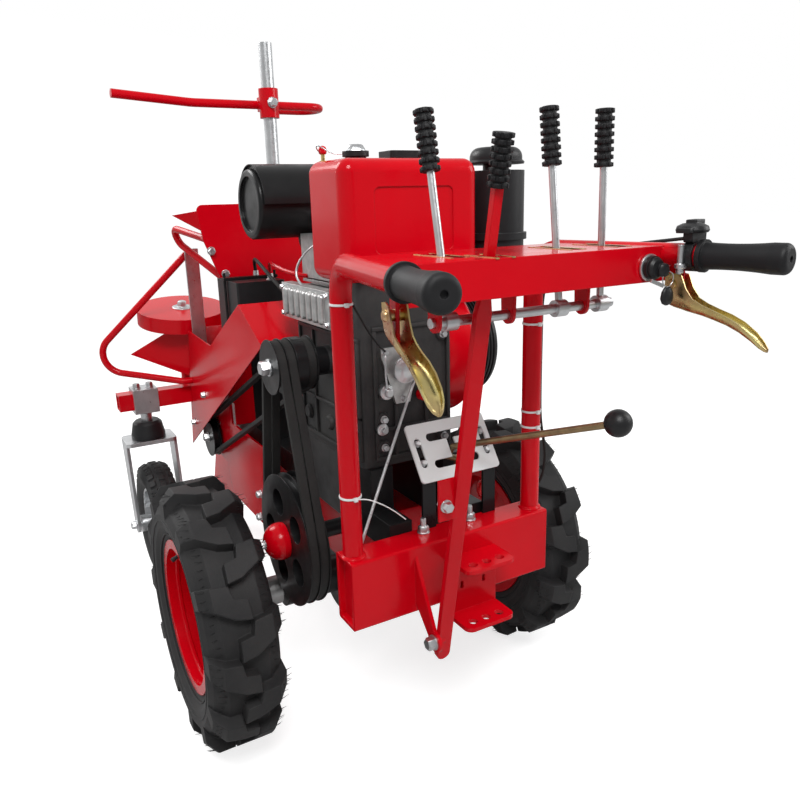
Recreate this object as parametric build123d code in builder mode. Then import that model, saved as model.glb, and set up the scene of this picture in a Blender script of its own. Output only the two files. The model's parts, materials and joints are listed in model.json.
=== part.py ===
from build123d import *
import os
from math import cos, radians, sin, tan

os.makedirs("parts", exist_ok=True)

# A walk-behind corn harvester. Millimetres, X forward, Y left, Z up, wheels on the ground at Z = 0.
# Places are given from the ground point below the wheel axle; the part's own origin is below
# the middle of the machine's length, so every place goes through at(), side(), level() or front().
front_reach = 1060.0
rear_reach = 812.0
axle_x = (rear_reach - front_reach) / 2

# Drive wheels
wheel_radius = 285.0
tyre_width = 148.0
track_half = 393.0
tread_half = 52.0
shoulder_drop = 26.0
lug_height = 24.0
lug_root = 20.0
lug_count = 12
crown_half = 42.0
crown_drop = 20.0
crown_shoulder = 8.0
# One lug of the left half, unrolled: across from the tyre's middle, along the way of rolling
LUG = ((-16.0, 40.0), (14.0, 34.0), (76.0, -4.0), (76.0, -39.0), (18.0, -31.0), (12.0, -5.0), (-14.0, 0.0))
rim_flange_radius = 167.0
rim_seat_radius = 152.0
rim_width = 118.0
rim_wall = 5.0
rim_disc_inset = 38.0
rim_disc = 6.0
rim_disc_rise = 14.0
rim_windows = 5
rim_window_radius = 23.0
axle_nose = 16.0
axle_radius = 17.5
axle_bore_gap = 0.05
axle_inner_end = 20.0
hub_radius = 32.0
hub_inner_end = 236.0
hub_flange_radius = 62.0
hub_flange = 11.0

# Rear beam, hitch and handlebar
beam_rear = -380.0
beam_depth = 68.0
beam_half = 225.0
beam_bottom = 373.0
beam_height = 136.0
beam_wall = 7.0
beam_round = 5.0
beam_end_recess = 12.0
beam_front = beam_rear + beam_depth
beam_top = beam_bottom + beam_height
hitch_y = -32.0
hitch_width = 112.0
hitch_reach = 75.0
hitch_plate = 8.0
hitch_bottom = 341.0
hitch_height = 128.0
hitch_hole_radius = 8.5
hitch_hole_pitch = 31.0
hitch_hole_setback = 22.0
hitch_corner = 16.0
hitch_slot = (16.0, 7.0)
hitch_slot_pitch = 52.0
tube_radius = 19.0
post_half = 206.0
post_x = beam_rear + beam_depth / 2
handle_height = 1040.0
handle_bend = 60.0
handle_splay = 11.5
grip_length = 137.0
grip_radius = 23.5
grip_neck_radius = 21.5
grip_waist_radius = 20.6
grip_flare = 26.0
grip_end_round = 9.0
grip_end_wall = 8.0
grip_end_hole = 5.0
grip_collar_radius = 26.0
grip_collar = 8.0

# Control panel between the handle tubes, its lever lugs and its switches
panel_rear = -620.0
panel_front = -425.0
panel_top = 1055.0
panel_sheet = 3.0
panel_skirt = 57.0
panel_lip = 18.0
lever_slot_width = 22.0
lever_slot_length = 110.0
shaft_x = -540.0
shaft_drop = 97.0
shaft_z = panel_top - shaft_drop
shaft_radius = 8.0
shaft_ends = (-215.0, 152.0)
shaft_lug_width = 36.0
shaft_lug_plate = 6.0
shaft_lug_radius = 15.0
shaft_lug_places = (143.0, 5.0, -150.0)
switch_y = -215.0
switch_z = 1022.0
switch_radius = 19.0
switch_depth = 14.0

# Hand levers on the shaft: sideways place, forward lean in degrees, length from the shaft
lever_radius = 6.0
lever_hub_radius = 14.0
lever_hub_width = 22.0
lever_grip_radius = 13.5
lever_grip_core = 11.5
lever_grip_length = 90.0
lever_grip_rings = 8
lever_grip_ring = 7.0
lever_grip_end = 12.0
LEVERS = ((118.0, 11.8, 314.0), (-100.0, 6.7, 318.0), (-191.0, 1.2, 313.0))

# Long clutch lever, pivoted on a bracket below the rear beam
clutch_y = 74.0
clutch_foot = (-438.0, 313.0)
clutch_head = (-612.0, 1212.0)
clutch_width = 28.0
clutch_neck = 15.0
clutch_neck_drop = 55.0
clutch_neck_taper = 30.0
clutch_thickness = 11.0
clutch_slot_length = 56.0
clutch_slot_gap = 3.0
clutch_bracket = 20.0
clutch_pin_height = 30.0
clutch_pin_radius = 7.0
clutch_bracket_plate = 7.0
clutch_grip_length = 74.0
clutch_grip_end = 12.0

# Brake levers under the grips, in the handle's upright plane: distance back from its corner, height
brake_pivot = (296.0, -46.0)
brake_pin_radius = 5.0
brake_width = 27.0
brake_plate = 2.5
brake_round = 10.0
# The hollow is the lever's own outline moved by this
brake_hollow = (-8.0, 7.0)
brake_heel_gap = 1.0
brake_neck_back = 14.0
brake_heel_drop = 4.0
strap_plate = 5.0
strap_width = 26.0
strap_drop = 81.0
BRAKE_TOP = -28.0
BRAKE_NECK = (326.0, -66.0)
BRAKE_BACK = (400.0, -89.0)
BRAKE_TIP_HIGH = (468.0, -126.0)
BRAKE_TIP_LOW = (460.0, -140.0)
BRAKE_BELLY = (366.0, -104.0)
throttle_back = 314.0
throttle_band = 16.0
throttle_band_radius = 25.0
throttle_box = (24.0, 44.0)
throttle_box_rise = 8.0
throttle_box_round = 6.0

# Gear lever gate
gate_centre = (-300.0, -46.0, 659.0)
gate_width = 185.0
gate_height = 120.0
gate_plate = 4.0
gate_lean = 35.0
gate_round = 8.0
gate_slot = 17.0
gate_slot_length = 105.0
gate_slot_rise = 28.0
gate_bolt_slot = (60.0, 13.0)
gate_bolt_place = 75.0
gate_leg_width = 30.0
gate_leg = 6.0
gate_leg_place = 72.0
gate_leg_inset = 6.0
gate_leg_drop = 20.0
gate_clear = 200.0
shift_knee = (-278.0, -46.0, 632.0)
shift_start = (-300.0, -46.0, 659.0)
shift_end = (-622.0, -164.0, 768.0)
shift_radius = 6.5
shift_knob_radius = 24.0
shift_post = (-278.0, -78.0)
shift_post_top = 625.0
shift_post_radius = 14.0

# Chassis rails and gearbox round the axle
rail_inner = 60.0
rail_width = 50.0
rail_bottom = 470.0
rail_height = 60.0
rail_front = 620.0
rail_top = rail_bottom + rail_height
gearbox_half_length = 115.0
gearbox_rear = -140.0
gearbox_half_width = 88.0
gearbox_rise = 45.0
gearbox_split = wheel_radius + gearbox_rise
gearbox_flange = 16.0
gearbox_flange_reach = 15.0
gearbox_round = 18.0
sump_radius = 95.0
axle_tube_radius = 42.0
axle_tube_end = 228.0

# Engine, crankshaft across the machine
base_height = 90.0
base_rear = -240.0
base_front = 80.0
engine_bottom = rail_top + base_height
crank_rear = -230.0
crank_front = 80.0
crank_left = 115.0
crank_right = -88.0
crank_round = 14.0
crank_top = 925.0
crank_step_front = -95.0
crank_step_top = 990.0
crankshaft_x = -80.0
crankshaft_z = 820.0
cylinder_rear = -62.0
cylinder_front = 110.0
cylinder_half = 85.0
fin_height = 50.0
fin_top = crank_top + fin_height
fin_count = 4
fin_thickness = 6.0
fin_depth = 14.0
head_top = 1070.0
rocker_top = 1100.0
rocker_inset = 24.0
rocker_round = 10.0
tank_rear = -250.0
tank_depth = 165.0
tank_half = 148.0
tank_top = 1212.0
tank_round = 26.0
tank_panel = (170.0, 120.0)
tank_panel_depth = 2.5
tank_panel_round = 12.0
cap_height = 15.0
cap_y = 78.0
cap_turn_radius = 25.0
cap_neck_radius = 20.0
cap_neck = 5.0
filler_x = (-205.0, -150.0)
filler_y = (-45.0, 22.0)
filler_round = 6.0
muffler_x = 170.0
muffler_z = 1135.0
muffler_radius = 76.0
muffler_ends = (0.0, 180.0)
muffler_rim = 8.0
muffler_inset = 7.0
shield_gap = 8.0
shield_sheet = 2.0
shield_inset = 8.0
shield_rib = 6.0
shield_hole_radius = 6.0
shield_hole_places = (45.0, 110.0)
exhaust_y = 45.0
exhaust_z = 1036.0
exhaust_radius = 20.0
exhaust_bend = 26.0
exhaust_sink = 20.0
filter_x = -180.0
filter_y = -238.0
filter_radius = 59.0
filter_bottom = crank_step_top
filter_top = 1190.0
filter_bowl = 62.0
filter_lip = 6.0
filter_lip_height = 14.0
filter_neck_radius = 27.0
filter_hat_radius = 54.0
filter_hat_bottom = 1204.0
filter_hat_round = 20.0
filter_cap_top = 1236.0
filter_shelf = 6.0
filter_shelf_half = 45.0
filter_bracket = 28.0
intake_z = 1050.0
intake_radius = 22.0
intake_x = 8.0
intake_bend = 44.0
shroud_radius = 148.0
shroud_outer = -168.0
shroud_round = 20.0
recoil_radius = 116.0
recoil_outer = -242.0
recoil_round = 16.0
recoil_ribs = 7
recoil_groove = 4.0
# How far cutting rings reach past the round they cut
cut_margin = 1.0

# Ribbed cover on the engine's left side and the governor bracket on its rear
cover_x = (-150.0, 100.0)
cover_z = (893.0, 968.0)
cover_depth = 26.0
cover_ribs = 7
cover_rib = 16.0
cover_rib_height = 9.0
cover_rib_inset = 7.0
cover_rib_round = 6.0
governor_plate = 8.0
governor_cap = 14.0
governor_radius = 17.0
governor_centre = (30.0, 818.0)
GOVERNOR = ((76.0, 862.0), (-8.0, 862.0), (-8.0, 838.0), (14.0, 748.0), (46.0, 748.0), (76.0, 846.0))

# Belt drives: pulley centres are X and Z, grooves are given by the belts they carry
belt_width = 17.0
belt_depth = 10.0
belt_gap = 3.0
groove_side = 0.5
pulley_lip = 3.0
header_belt_y = 165.0
drive_belt_y = 207.0
engine_pulley_radius = 56.0
drive_pulley_x = -97.0
drive_pulley_z = 450.0
drive_pulley_radius = 141.0
drive_hub_radius = 34.0
drive_shaft_radius = 18.0
drive_spokes = 5
drive_window_radius = 29.0
crank_seal = 12.0
crank_seal_radius = 30.0
boss_length = 44.0
boss_radius = 38.0
boss_nose_radius = 13.0
header_pulley_x = 700.0
header_pulley_z = 452.0
header_pulley_radius = 60.0

# Belt guard on the left and its plain partner on the right
guard_outer = 200.0
guard_sheet = 3.0
guard_fold = 3.3
guard_top_width = 130.0
guard_lip = 12.0
guard_notch_gap = 2.0
GUARD_RIDGE = (243.0, 907.0)
GUARD_HEEL = (95.0, 830.0)
GUARD_TIP = (852.0, 393.0)
GUARD_NOSE = (762.0, 774.0)
GUARD_NOTCH = (528.0, 763.0)
GUARD_FOOT = (560.0, 560.0)

# Battery on its tray
battery_x = (310.0, 480.0)
battery_y = (53.0, 178.0)
battery_bottom = 790.0
battery_height = 160.0
battery_round = 6.0
tray_sheet = 6.0
tray_margin = 9.0
tray_leg_inset = 30.0
hold_down_width = 20.0
hold_down = 7.0
hold_down_rod_radius = 3.5
hold_down_stub = 12.0

# Backboard behind the crop opening, with its pole and push bar
board_x = 515.0
board_sheet = 4.0
board_front = board_x + board_sheet
board_corner = 16.0
BOARD_EDGE = ((150.0, 530.0), (150.0, 925.0), (194.0, 1045.0), (207.0, 1137.0))
# The wing folded forward from each edge of the board, three corners
board_wing = 3.0
BOARD_WING = ((516.0, 203.0, 1122.0), (516.0, 197.0, 1072.0), (580.0, 252.0, 1112.0))
pole_x = 545.0
pole_y = -25.0
pole_radius = 17.5
pole_bottom = 560.0
pole_top = 1543.0
pole_clamp_half = 25.0
pole_clamp_height = 40.0
pole_wall = 2.5
pole_bore = 60.0
pole_clamp_places = (640.0, 1040.0)
sleeve_height = 74.0
sleeve_drop = 186.0
sleeve_bottom = pole_top - sleeve_drop
sleeve_radius = 26.0
bar_radius = 11.0
bar_z = sleeve_bottom + sleeve_height / 2
bar_left = 372.0
bar_bend = 174.0
bar_tip_rise = 13.0
bar_tip_back = 12.0
bar_tip_radius = 260.0
bar_right = -203.0
bar_return = 100.0
bar_return_radius = 45.0
bar_return_end = 40.0
saddle = (20.0, 18.0)

# Header: case, side plates, dividers either side of the crop opening, cross tube
case_rear = 480.0
case_half = 150.0
case_bottom = 300.0
side_sheet = 6.0
side_front = 870.0
side_low = 392.0
side_high = 748.0
side_rear = 200.0
side_rear_slope = 100.0
side_foot = 30.0
side_step = 80.0
side_crest = ((545.0, 815.0), (745.0, 782.0))
throat_half = 42.0
divider_width = 54.0
divider_tip_height = 105.0
divider_tip = 30.0
divider_heel = 252.0
spacer_radius = 12.0
SPACERS = ((640.0, 600.0), (790.0, 480.0))
cross_x = 830.0
cross_z = 567.0
cross_size = 50.0
cross_half = 414.0
cross_wall = 4.0
cross_bore = 70.0
disc_x = 900.0
disc_y = 178.0
disc_z = 826.0
disc_radius = 136.0
disc_skirt = 45.0
disc_sheet = 4.0
disc_tilt = 9.5
disc_post_radius = 24.0
disc_shelf = 8.0
disc_shelf_half = 18.0
disc_shelf_front = 932.0
strut_x = 725.0
strut_flange = 30.0
strut_width = 39.0
strut_plate = 6.0
strut_z = (690.0, 1015.0)
guide_radius = 10.0
guide_stand = 24.0
wing_sheet = 3.0
wing_top_share = 0.4
WING_ROOT = (800.0, 150.0, 600.0)
WING_TIP = (930.0, 345.0, 690.0)
WING_TOP = 768.0
fence_top_z = 1000.0
fence_bends = (14.0, 60.0, 14.0)
FENCE_CORNER = (905.0, 490.0, 672.0)
FENCE_FOOT = (780.0, 616.0)
hairpin_stand = 30.0
hairpin_bends = (20.0, 28.0, 20.0)
HAIRPIN_HIGH = (182.0, 1050.0)
HAIRPIN_LOW = (136.0, 938.0)
HAIRPIN_TIP = (850.0, 256.0, 1097.0)

# Casters under the cross tube: swivel post, fork and wheel
caster_y = 337.0
caster_trail = 45.0
caster_radius = 185.0
caster_width = 88.0
caster_rim_radius = 104.0
caster_crown = 11.0
caster_crown_half = 16.0
caster_swell = 4.0
caster_bead = 31.0
caster_shoulder = 35.0
caster_web = 12.0
caster_band = 8.0
caster_hub_radius = 26.0
caster_hub_half = 60.0
caster_axle_radius = 8.0
clamp_wall = 12.0
clamp_half_length = 36.0
stem_radius = 17.0
stem_bottom = 438.0
cap_radius = 50.0
cap_top_radius = 43.0
cap_round = 8.0
cap_lip = 12.0
caster_cap_bottom = 447.0
caster_cap_height = 54.0
crown_top = 446.0
crown_plate = 12.0
crown_half_length = 52.0
fork_half = 75.0
fork_plate = 9.0
fork_boss_radius = 26.0
fork_corner = 14.0
fork_neck = 30.0


def at(x, y, z):
    """A point measured from the ground below the axle."""
    return Vector(axle_x + x, y, z)


def side(y):
    """Upright plane along the machine at y: local x forward, local y up, extrusions go right."""
    return Plane(origin=at(0, y, 0), x_dir=(1, 0, 0), z_dir=(0, -1, 0))


def level(z):
    """Flat plane at height z: local x forward, local y left, extrusions go up."""
    return Plane(origin=at(0, 0, z), x_dir=(1, 0, 0), z_dir=(0, 0, 1))


def front(x):
    """Upright plane across the machine at x: local x left, local y up, extrusions go forward."""
    return Plane(origin=at(x, 0, 0), x_dir=(0, 1, 0), z_dir=(1, 0, 0))


def block(x, y, z, mode=Mode.ADD):
    """A box between pairs of limits."""
    with Locations(at(sum(x) / 2, sum(y) / 2, sum(z) / 2)):
        Box(x[1] - x[0], y[1] - y[0], z[1] - z[0], mode=mode)


def spindle(x, z, y, radius, mode=Mode.ADD):
    """A cylinder across the machine between two sideways places."""
    with Locations(Location(at(x, sum(y) / 2, z), (90, 0, 0))):
        Cylinder(radius, y[1] - y[0], mode=mode)


def pillar(x, y, z, radius, mode=Mode.ADD):
    """An upright cylinder between two heights."""
    with Locations(at(x, y, sum(z) / 2)):
        Cylinder(radius, z[1] - z[0], mode=mode)


def tube(points, bends, radius):
    """A round tube through points, its corners bent to the given radii."""
    with BuildPart() as bent:
        with BuildLine() as path:
            FilletPolyline(*points, radius=bends)
        with BuildSketch(Plane(origin=path.line @ 0, z_dir=path.line % 0)):
            Circle(radius)
        sweep()
    return bent.part


def rod(start, end, radius):
    """A straight round bar between two points."""
    with BuildPart() as bar:
        with BuildSketch(Plane(origin=start, z_dir=end - start)):
            Circle(radius)
        extrude(amount=(end - start).length)
    return bar.part


def save(piece, name):
    """Label a finished piece and write it."""
    piece.label = name
    export_step(piece, f"parts/{name}.step")


def mirrored(piece):
    """The right-hand partner of a left-hand piece."""
    with BuildPart() as partner:
        mirror(piece, about=Plane.XZ)
    return partner.part


def save_pair(left, name):
    """Write a left-hand piece and its right-hand partner as two nodes."""
    save(left, f"{name}_left")
    save(mirrored(left), f"{name}_right")


def both_sides(left):
    """A left-hand piece and its partner as one node of two solids."""
    with BuildPart() as pair:
        add(left)
        mirror(left, about=Plane.XZ)
    return pair.part


# Drive wheels, turned about the wheel axle: local x left from the wheel's middle, local y outwards
wheel_section = Plane(origin=at(0, track_half, wheel_radius), x_dir=(0, 1, 0), z_dir=(1, 0, 0))
wheel_axis = Axis(at(0, 0, wheel_radius), (0, 1, 0))
bead_half = rim_width / 2 - rim_wall
rim_disc_outer = track_half - rim_disc_inset
rim_disc_inner = rim_disc_outer - rim_disc

# The tyre's carcass, and the form that its lugs fill out to
side_waist = (tyre_width / 2, (rim_flange_radius + wheel_radius) / 2)
side_swell = (tyre_width / 2 - crown_shoulder / 2, (rim_flange_radius + side_waist[1]) / 2)
crown_edge = (crown_half, wheel_radius - lug_height)
crown_side = (tyre_width / 2 - crown_shoulder, wheel_radius - lug_height - crown_drop)
with BuildPart() as carcass:
    with BuildSketch(wheel_section):
        with BuildLine():
            Polyline((0, rim_seat_radius), (bead_half, rim_seat_radius), (bead_half, rim_flange_radius),
                     side_swell, side_waist, crown_side, crown_edge, (0, wheel_radius - lug_height))
            mirror(about=Plane.YZ)
        make_face()
    revolve(axis=wheel_axis)

with BuildPart() as tread_form:
    with BuildSketch(wheel_section):
        with BuildLine():
            root = crown_side[1] - lug_root
            Polyline((0, root), (tyre_width / 2, root), (tyre_width / 2, wheel_radius - shoulder_drop),
                     (tread_half, wheel_radius), (0, wheel_radius))
            mirror(about=Plane.YZ)
        make_face()
    revolve(axis=wheel_axis)

# One lug of each half at the wheel's rear, the right one half a pitch further round
lug_plane = Plane(origin=at(-wheel_radius - lug_root, track_half, wheel_radius), x_dir=(0, 1, 0),
                  z_dir=(-1, 0, 0))
with BuildPart() as lug:
    with BuildSketch(lug_plane):
        with BuildLine():
            Polyline(*LUG, close=True)
        make_face()
    extrude(amount=-2 * lug_root - lug_height - crown_drop)
    add(tread_form.part, mode=Mode.INTERSECT)
with BuildPart() as right_lug:
    mirror(lug.part, about=Plane.XZ.offset(-track_half))

lug_pitch = 360 / lug_count
with BuildPart() as tyre:
    add(carcass.part)
    for step in range(lug_count):
        add(lug.part.rotate(wheel_axis, step * lug_pitch))
        add(right_lug.part.rotate(wheel_axis, (step + 0.5) * lug_pitch))
save_pair(tyre.part, "tyre")

with BuildPart() as rim:
    with BuildSketch(wheel_section):
        with BuildLine():
            barrel = rim_seat_radius - rim_wall
            half = rim_width / 2
            Polyline((half, barrel), (half, rim_flange_radius), (half - rim_wall, rim_flange_radius),
                     (half - rim_wall, rim_seat_radius), (-half + rim_wall, rim_seat_radius),
                     (-half + rim_wall, rim_flange_radius), (-half, rim_flange_radius),
                     (-half, barrel), close=True)
        make_face()
        with BuildLine():
            dish = -rim_disc_inset
            rise = dish + rim_disc_rise
            Polyline((dish, axle_radius), (dish, hub_flange_radius), (rise, barrel),
                     (rise - rim_disc, barrel), (dish - rim_disc, hub_flange_radius),
                     (dish - rim_disc, axle_radius), close=True)
        make_face()
    revolve(axis=wheel_axis)
    with BuildSketch(side(track_half)):
        with Locations((0, wheel_radius)):
            with PolarLocations((barrel + hub_flange_radius) / 2, rim_windows):
                Circle(rim_window_radius)
    extrude(amount=rim_width / 2, mode=Mode.SUBTRACT)
save_pair(rim.part, "rim")

with BuildPart() as axle:
    spindle(0, wheel_radius, (axle_inner_end, rim_disc_inner), axle_radius)
    spindle(0, wheel_radius, (hub_inner_end, rim_disc_inner), hub_radius)
    spindle(0, wheel_radius, (rim_disc_inner - hub_flange, rim_disc_inner), hub_flange_radius)
    spindle(0, wheel_radius, (rim_disc_inner, rim_disc_outer + axle_nose), axle_radius)
save_pair(axle.part, "axle")

# Gearbox: black lower half round the axle, red upper half under the rails
with BuildPart() as gearbox_lower:
    with BuildSketch(side(gearbox_half_width)):
        with Locations((0, wheel_radius)):
            Circle(sump_radius)
        with Locations((0, (wheel_radius + gearbox_split) / 2)):
            Rectangle(2 * (gearbox_half_length - gearbox_flange_reach), gearbox_split - wheel_radius)
        with Locations((0, gearbox_split - gearbox_flange / 2)):
            Rectangle(2 * gearbox_half_length, gearbox_flange)
        with Locations((0, gearbox_split + sump_radius)):
            Rectangle(4 * sump_radius, 2 * sump_radius, mode=Mode.SUBTRACT)
    extrude(amount=2 * gearbox_half_width)
    spindle(0, wheel_radius, (-axle_tube_end, axle_tube_end), axle_tube_radius)
    spindle(0, wheel_radius, (-axle_tube_end, axle_tube_end), axle_radius + axle_bore_gap,
            mode=Mode.SUBTRACT)
save(gearbox_lower.part, "gearbox_lower")

with BuildPart() as gearbox_upper:
    block((gearbox_rear, gearbox_half_length), (-gearbox_half_width, gearbox_half_width),
          (gearbox_split, rail_bottom))
    fillet(gearbox_upper.edges().filter_by(Axis.Z), gearbox_round)
save(gearbox_upper.part, "gearbox_upper")

# Chassis rails with the engine base welded on
with BuildPart() as frame_rails:
    rail_span = (rail_inner, rail_inner + rail_width)
    block((beam_front, rail_front), rail_span, (rail_bottom, rail_top))
    block((base_rear, base_front), rail_span, (rail_top, engine_bottom))
    mirror(about=Plane.XZ)
save(frame_rails.part, "frame_rails")

# The clutch lever's forward change for each unit of height
clutch_slope = (clutch_head[0] - clutch_foot[0]) / (clutch_head[1] - clutch_foot[1])

# Rear beam: a box section with recessed ends and the clutch lever's bracket below
with BuildPart() as rear_beam:
    block((beam_rear, beam_front), (-beam_half, beam_half), (beam_bottom, beam_top))
    fillet(rear_beam.edges().filter_by(Axis.Y), beam_round)
    for end in (-beam_half + beam_end_recess / 2, beam_half - beam_end_recess / 2):
        block((beam_rear + beam_wall, beam_front - beam_wall),
              (end - beam_end_recess / 2, end + beam_end_recess / 2),
              (beam_bottom + beam_wall, beam_top - beam_wall), mode=Mode.SUBTRACT)
    clutch_side = clutch_y + clutch_width / 2
    pin_x = clutch_foot[0] + clutch_pin_height * clutch_slope
    pin_z = clutch_foot[1] + clutch_pin_height
    with BuildSketch(side(clutch_side + clutch_bracket_plate)):
        with BuildLine():
            Polyline((beam_rear, beam_bottom + clutch_bracket), (beam_rear, beam_top - clutch_bracket),
                     (pin_x, pin_z + clutch_bracket), (pin_x, pin_z - clutch_bracket), close=True)
        make_face()
        with Locations((pin_x, pin_z)):
            Circle(clutch_bracket)
            Circle(clutch_pin_radius, mode=Mode.SUBTRACT)
    extrude(amount=clutch_bracket_plate)
save(rear_beam.part, "rear_beam")

with BuildPart() as hitch_bracket:
    hitch_span = (hitch_y - hitch_width / 2, hitch_y + hitch_width / 2)
    block((beam_rear - hitch_plate, beam_rear), hitch_span, (hitch_bottom, hitch_bottom + hitch_height))
    for z in (hitch_bottom, hitch_bottom + hitch_height - hitch_plate):
        block((beam_rear - hitch_reach, beam_rear), hitch_span, (z, z + hitch_plate))
    hitch_corners = hitch_bracket.edges().filter_by(Axis.Z).group_by(Axis.X)[0]
    fillet(hitch_corners, hitch_corner)
    with BuildSketch(front(beam_rear - hitch_plate)):
        with Locations((hitch_y, hitch_bottom + hitch_height / 2)):
            with GridLocations(hitch_slot_pitch, 0, 2, 1):
                SlotOverall(*hitch_slot, rotation=90)
    extrude(amount=hitch_plate, mode=Mode.SUBTRACT)
    hole_x = beam_rear - hitch_reach + hitch_hole_setback
    for step in (-1, 0, 1):
        pillar(hole_x, hitch_y + step * hitch_hole_pitch, (hitch_bottom, hitch_bottom + hitch_height),
               hitch_hole_radius, mode=Mode.SUBTRACT)
save(hitch_bracket.part, "hitch_bracket")

# Handlebar: two posts on the beam that bend back into splayed handles
splay_back = -cos(radians(handle_splay))
splay_out = sin(radians(handle_splay))
handle_direction = Vector(splay_back, splay_out, 0)
handle_corner = at(post_x, post_half, handle_height)
# The rounded end of the grip is the machine's rearmost point
grip_end_back = rear_reach + post_x - (grip_radius - grip_end_round) * splay_out - grip_end_round
handle_reach = grip_end_round - grip_end_back / splay_back
handle_length = handle_reach - grip_end_wall


def along_handle(distance):
    """A point on the left handle's centre line, measured from its corner."""
    return handle_corner + handle_direction * distance


handle_plane = Plane(origin=handle_corner, x_dir=handle_direction,
                     z_dir=handle_direction.cross(Vector(0, 0, 1)))

with BuildPart() as handle:
    add(tube([at(post_x, post_half, beam_top), handle_corner, along_handle(handle_length)],
             handle_bend, tube_radius))
    with BuildSketch(handle_plane.offset(-strap_plate / 2)):
        with Locations((brake_pivot[0], -strap_drop / 2)):
            Rectangle(strap_width, strap_drop)
        with Locations(brake_pivot):
            Circle(brake_pin_radius, mode=Mode.SUBTRACT)
    extrude(amount=strap_plate)
handle_left = handle.part
save(both_sides(handle_left), "handle_tubes")

# Brake levers: pressed spoons that straddle the straps, their flanges turned up
with BuildPart() as brake_lever:
    with BuildSketch(handle_plane.offset(-brake_width / 2)) as brake_outline:
        with BuildLine():
            heel = brake_pivot[0] - strap_width / 2 - brake_heel_gap
            heel_low = (heel, -strap_drop - brake_heel_drop)
            neck_top = (BRAKE_NECK[0] - brake_neck_back, BRAKE_TOP)
            Line((heel, BRAKE_TOP), heel_low)
            ThreePointArc(heel_low, BRAKE_BELLY, BRAKE_TIP_LOW)
            Line(BRAKE_TIP_LOW, BRAKE_TIP_HIGH)
            ThreePointArc(BRAKE_TIP_HIGH, BRAKE_BACK, BRAKE_NECK)
            Polyline(BRAKE_NECK, neck_top, (heel, BRAKE_TOP))
        make_face()
    extrude(amount=brake_width)
    tip_edges = brake_lever.edges().sort_by(Axis(handle_corner, handle_direction))[-3:-1]
    fillet(tip_edges, brake_round)
    with BuildSketch(handle_plane.offset(-brake_width / 2 + brake_plate)):
        with Locations(brake_hollow):
            add(brake_outline.sketch_local)
        with Locations((brake_pivot[0], -strap_drop / 2)):
            Rectangle(strap_width + 2 * brake_plate, strap_drop)
    extrude(amount=brake_width - 2 * brake_plate, mode=Mode.SUBTRACT)
    with BuildSketch(handle_plane.offset(-brake_width / 2)):
        with Locations(brake_pivot):
            Circle(brake_pin_radius)
    extrude(amount=brake_width)
save(both_sides(brake_lever.part), "brake_levers")

# Control panel: a folded sheet coped to the handle tubes, with lever slots and lugs
with BuildPart() as control_panel:
    panel_half = post_half + (-panel_rear + post_x) * tan(radians(handle_splay))
    front_half = post_half + (-panel_front + post_x) * tan(radians(handle_splay))
    with BuildSketch(level(panel_top - panel_sheet)):
        with BuildLine():
            Polyline((panel_rear, panel_half), (panel_front, front_half), (panel_front, -front_half),
                     (panel_rear, -panel_half), close=True)
        make_face()
        for y, lean, length in LEVERS:
            with Locations((shaft_x + (panel_top - shaft_z) * tan(radians(lean)), y)):
                SlotOverall(lever_slot_length, lever_slot_width, mode=Mode.SUBTRACT)
        clutch_slot_x = clutch_head[0] - (clutch_head[1] - panel_top) * clutch_slope
        with Locations((clutch_slot_x, clutch_y)):
            RectangleRounded(clutch_slot_length, clutch_neck + 2 * clutch_slot_gap, clutch_slot_gap,
                             mode=Mode.SUBTRACT)
    extrude(amount=panel_sheet)
    block((panel_rear, panel_rear + panel_sheet), (-panel_half, panel_half),
          (panel_top - panel_skirt, panel_top))
    block((panel_front - panel_sheet, panel_front), (-front_half, front_half),
          (panel_top - panel_lip, panel_top))
    for y in shaft_lug_places:
        with BuildSketch(side(y + shaft_lug_plate / 2)):
            with Locations((shaft_x, shaft_z)):
                Circle(shaft_lug_radius)
            with Locations((shaft_x, panel_top - panel_sheet - shaft_lug_plate / 2)):
                Rectangle(shaft_lug_width, shaft_lug_plate)
            make_hull()
        extrude(amount=shaft_lug_plate)
    spindle(shaft_x, shaft_z, shaft_ends, shaft_radius, mode=Mode.SUBTRACT)
    add(handle_left, mode=Mode.SUBTRACT)
    add(mirrored(handle_left), mode=Mode.SUBTRACT)
save(control_panel.part, "control_panel")

# Hand levers on their shaft
with BuildPart() as control_levers:
    spindle(shaft_x, shaft_z, shaft_ends, shaft_radius)
    for y, lean, length in LEVERS:
        spindle(shaft_x, shaft_z, (y - lever_hub_width / 2, y + lever_hub_width / 2), lever_hub_radius)
        way = Vector(sin(radians(lean)), 0, cos(radians(lean)))
        hub = at(shaft_x, y, shaft_z)
        add(rod(hub, hub + way * (length - lever_grip_end), lever_radius))
save(control_levers.part, "control_levers")

# Long clutch lever: a flat bar from below the beam up through the panel
clutch_start = at(clutch_foot[0], clutch_y, clutch_foot[1])
clutch_end = at(clutch_head[0], clutch_y, clutch_head[1])
clutch_way = (clutch_end - clutch_start).normalized()
clutch_length = (clutch_end - clutch_start).length
clutch_plane = Plane(origin=clutch_start, x_dir=clutch_way, z_dir=clutch_way.cross(Vector(0, 1, 0)))
neck_end = (panel_top - clutch_neck_drop - clutch_foot[1]) / clutch_way.Z
with BuildPart() as clutch_lever:
    with BuildSketch(clutch_plane.offset(-clutch_thickness / 2)):
        with BuildLine():
            wide = clutch_width / 2
            narrow = clutch_neck / 2
            Polyline((0, 0), (0, wide), (neck_end - clutch_neck_taper, wide), (neck_end, narrow),
                     (clutch_length, narrow), (clutch_length, 0))
            mirror(about=Plane.XZ)
        make_face()
        Circle(clutch_width / 2)
    extrude(amount=clutch_thickness)
    spindle(pin_x, pin_z, (clutch_y, clutch_side + clutch_bracket_plate), clutch_pin_radius)
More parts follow.
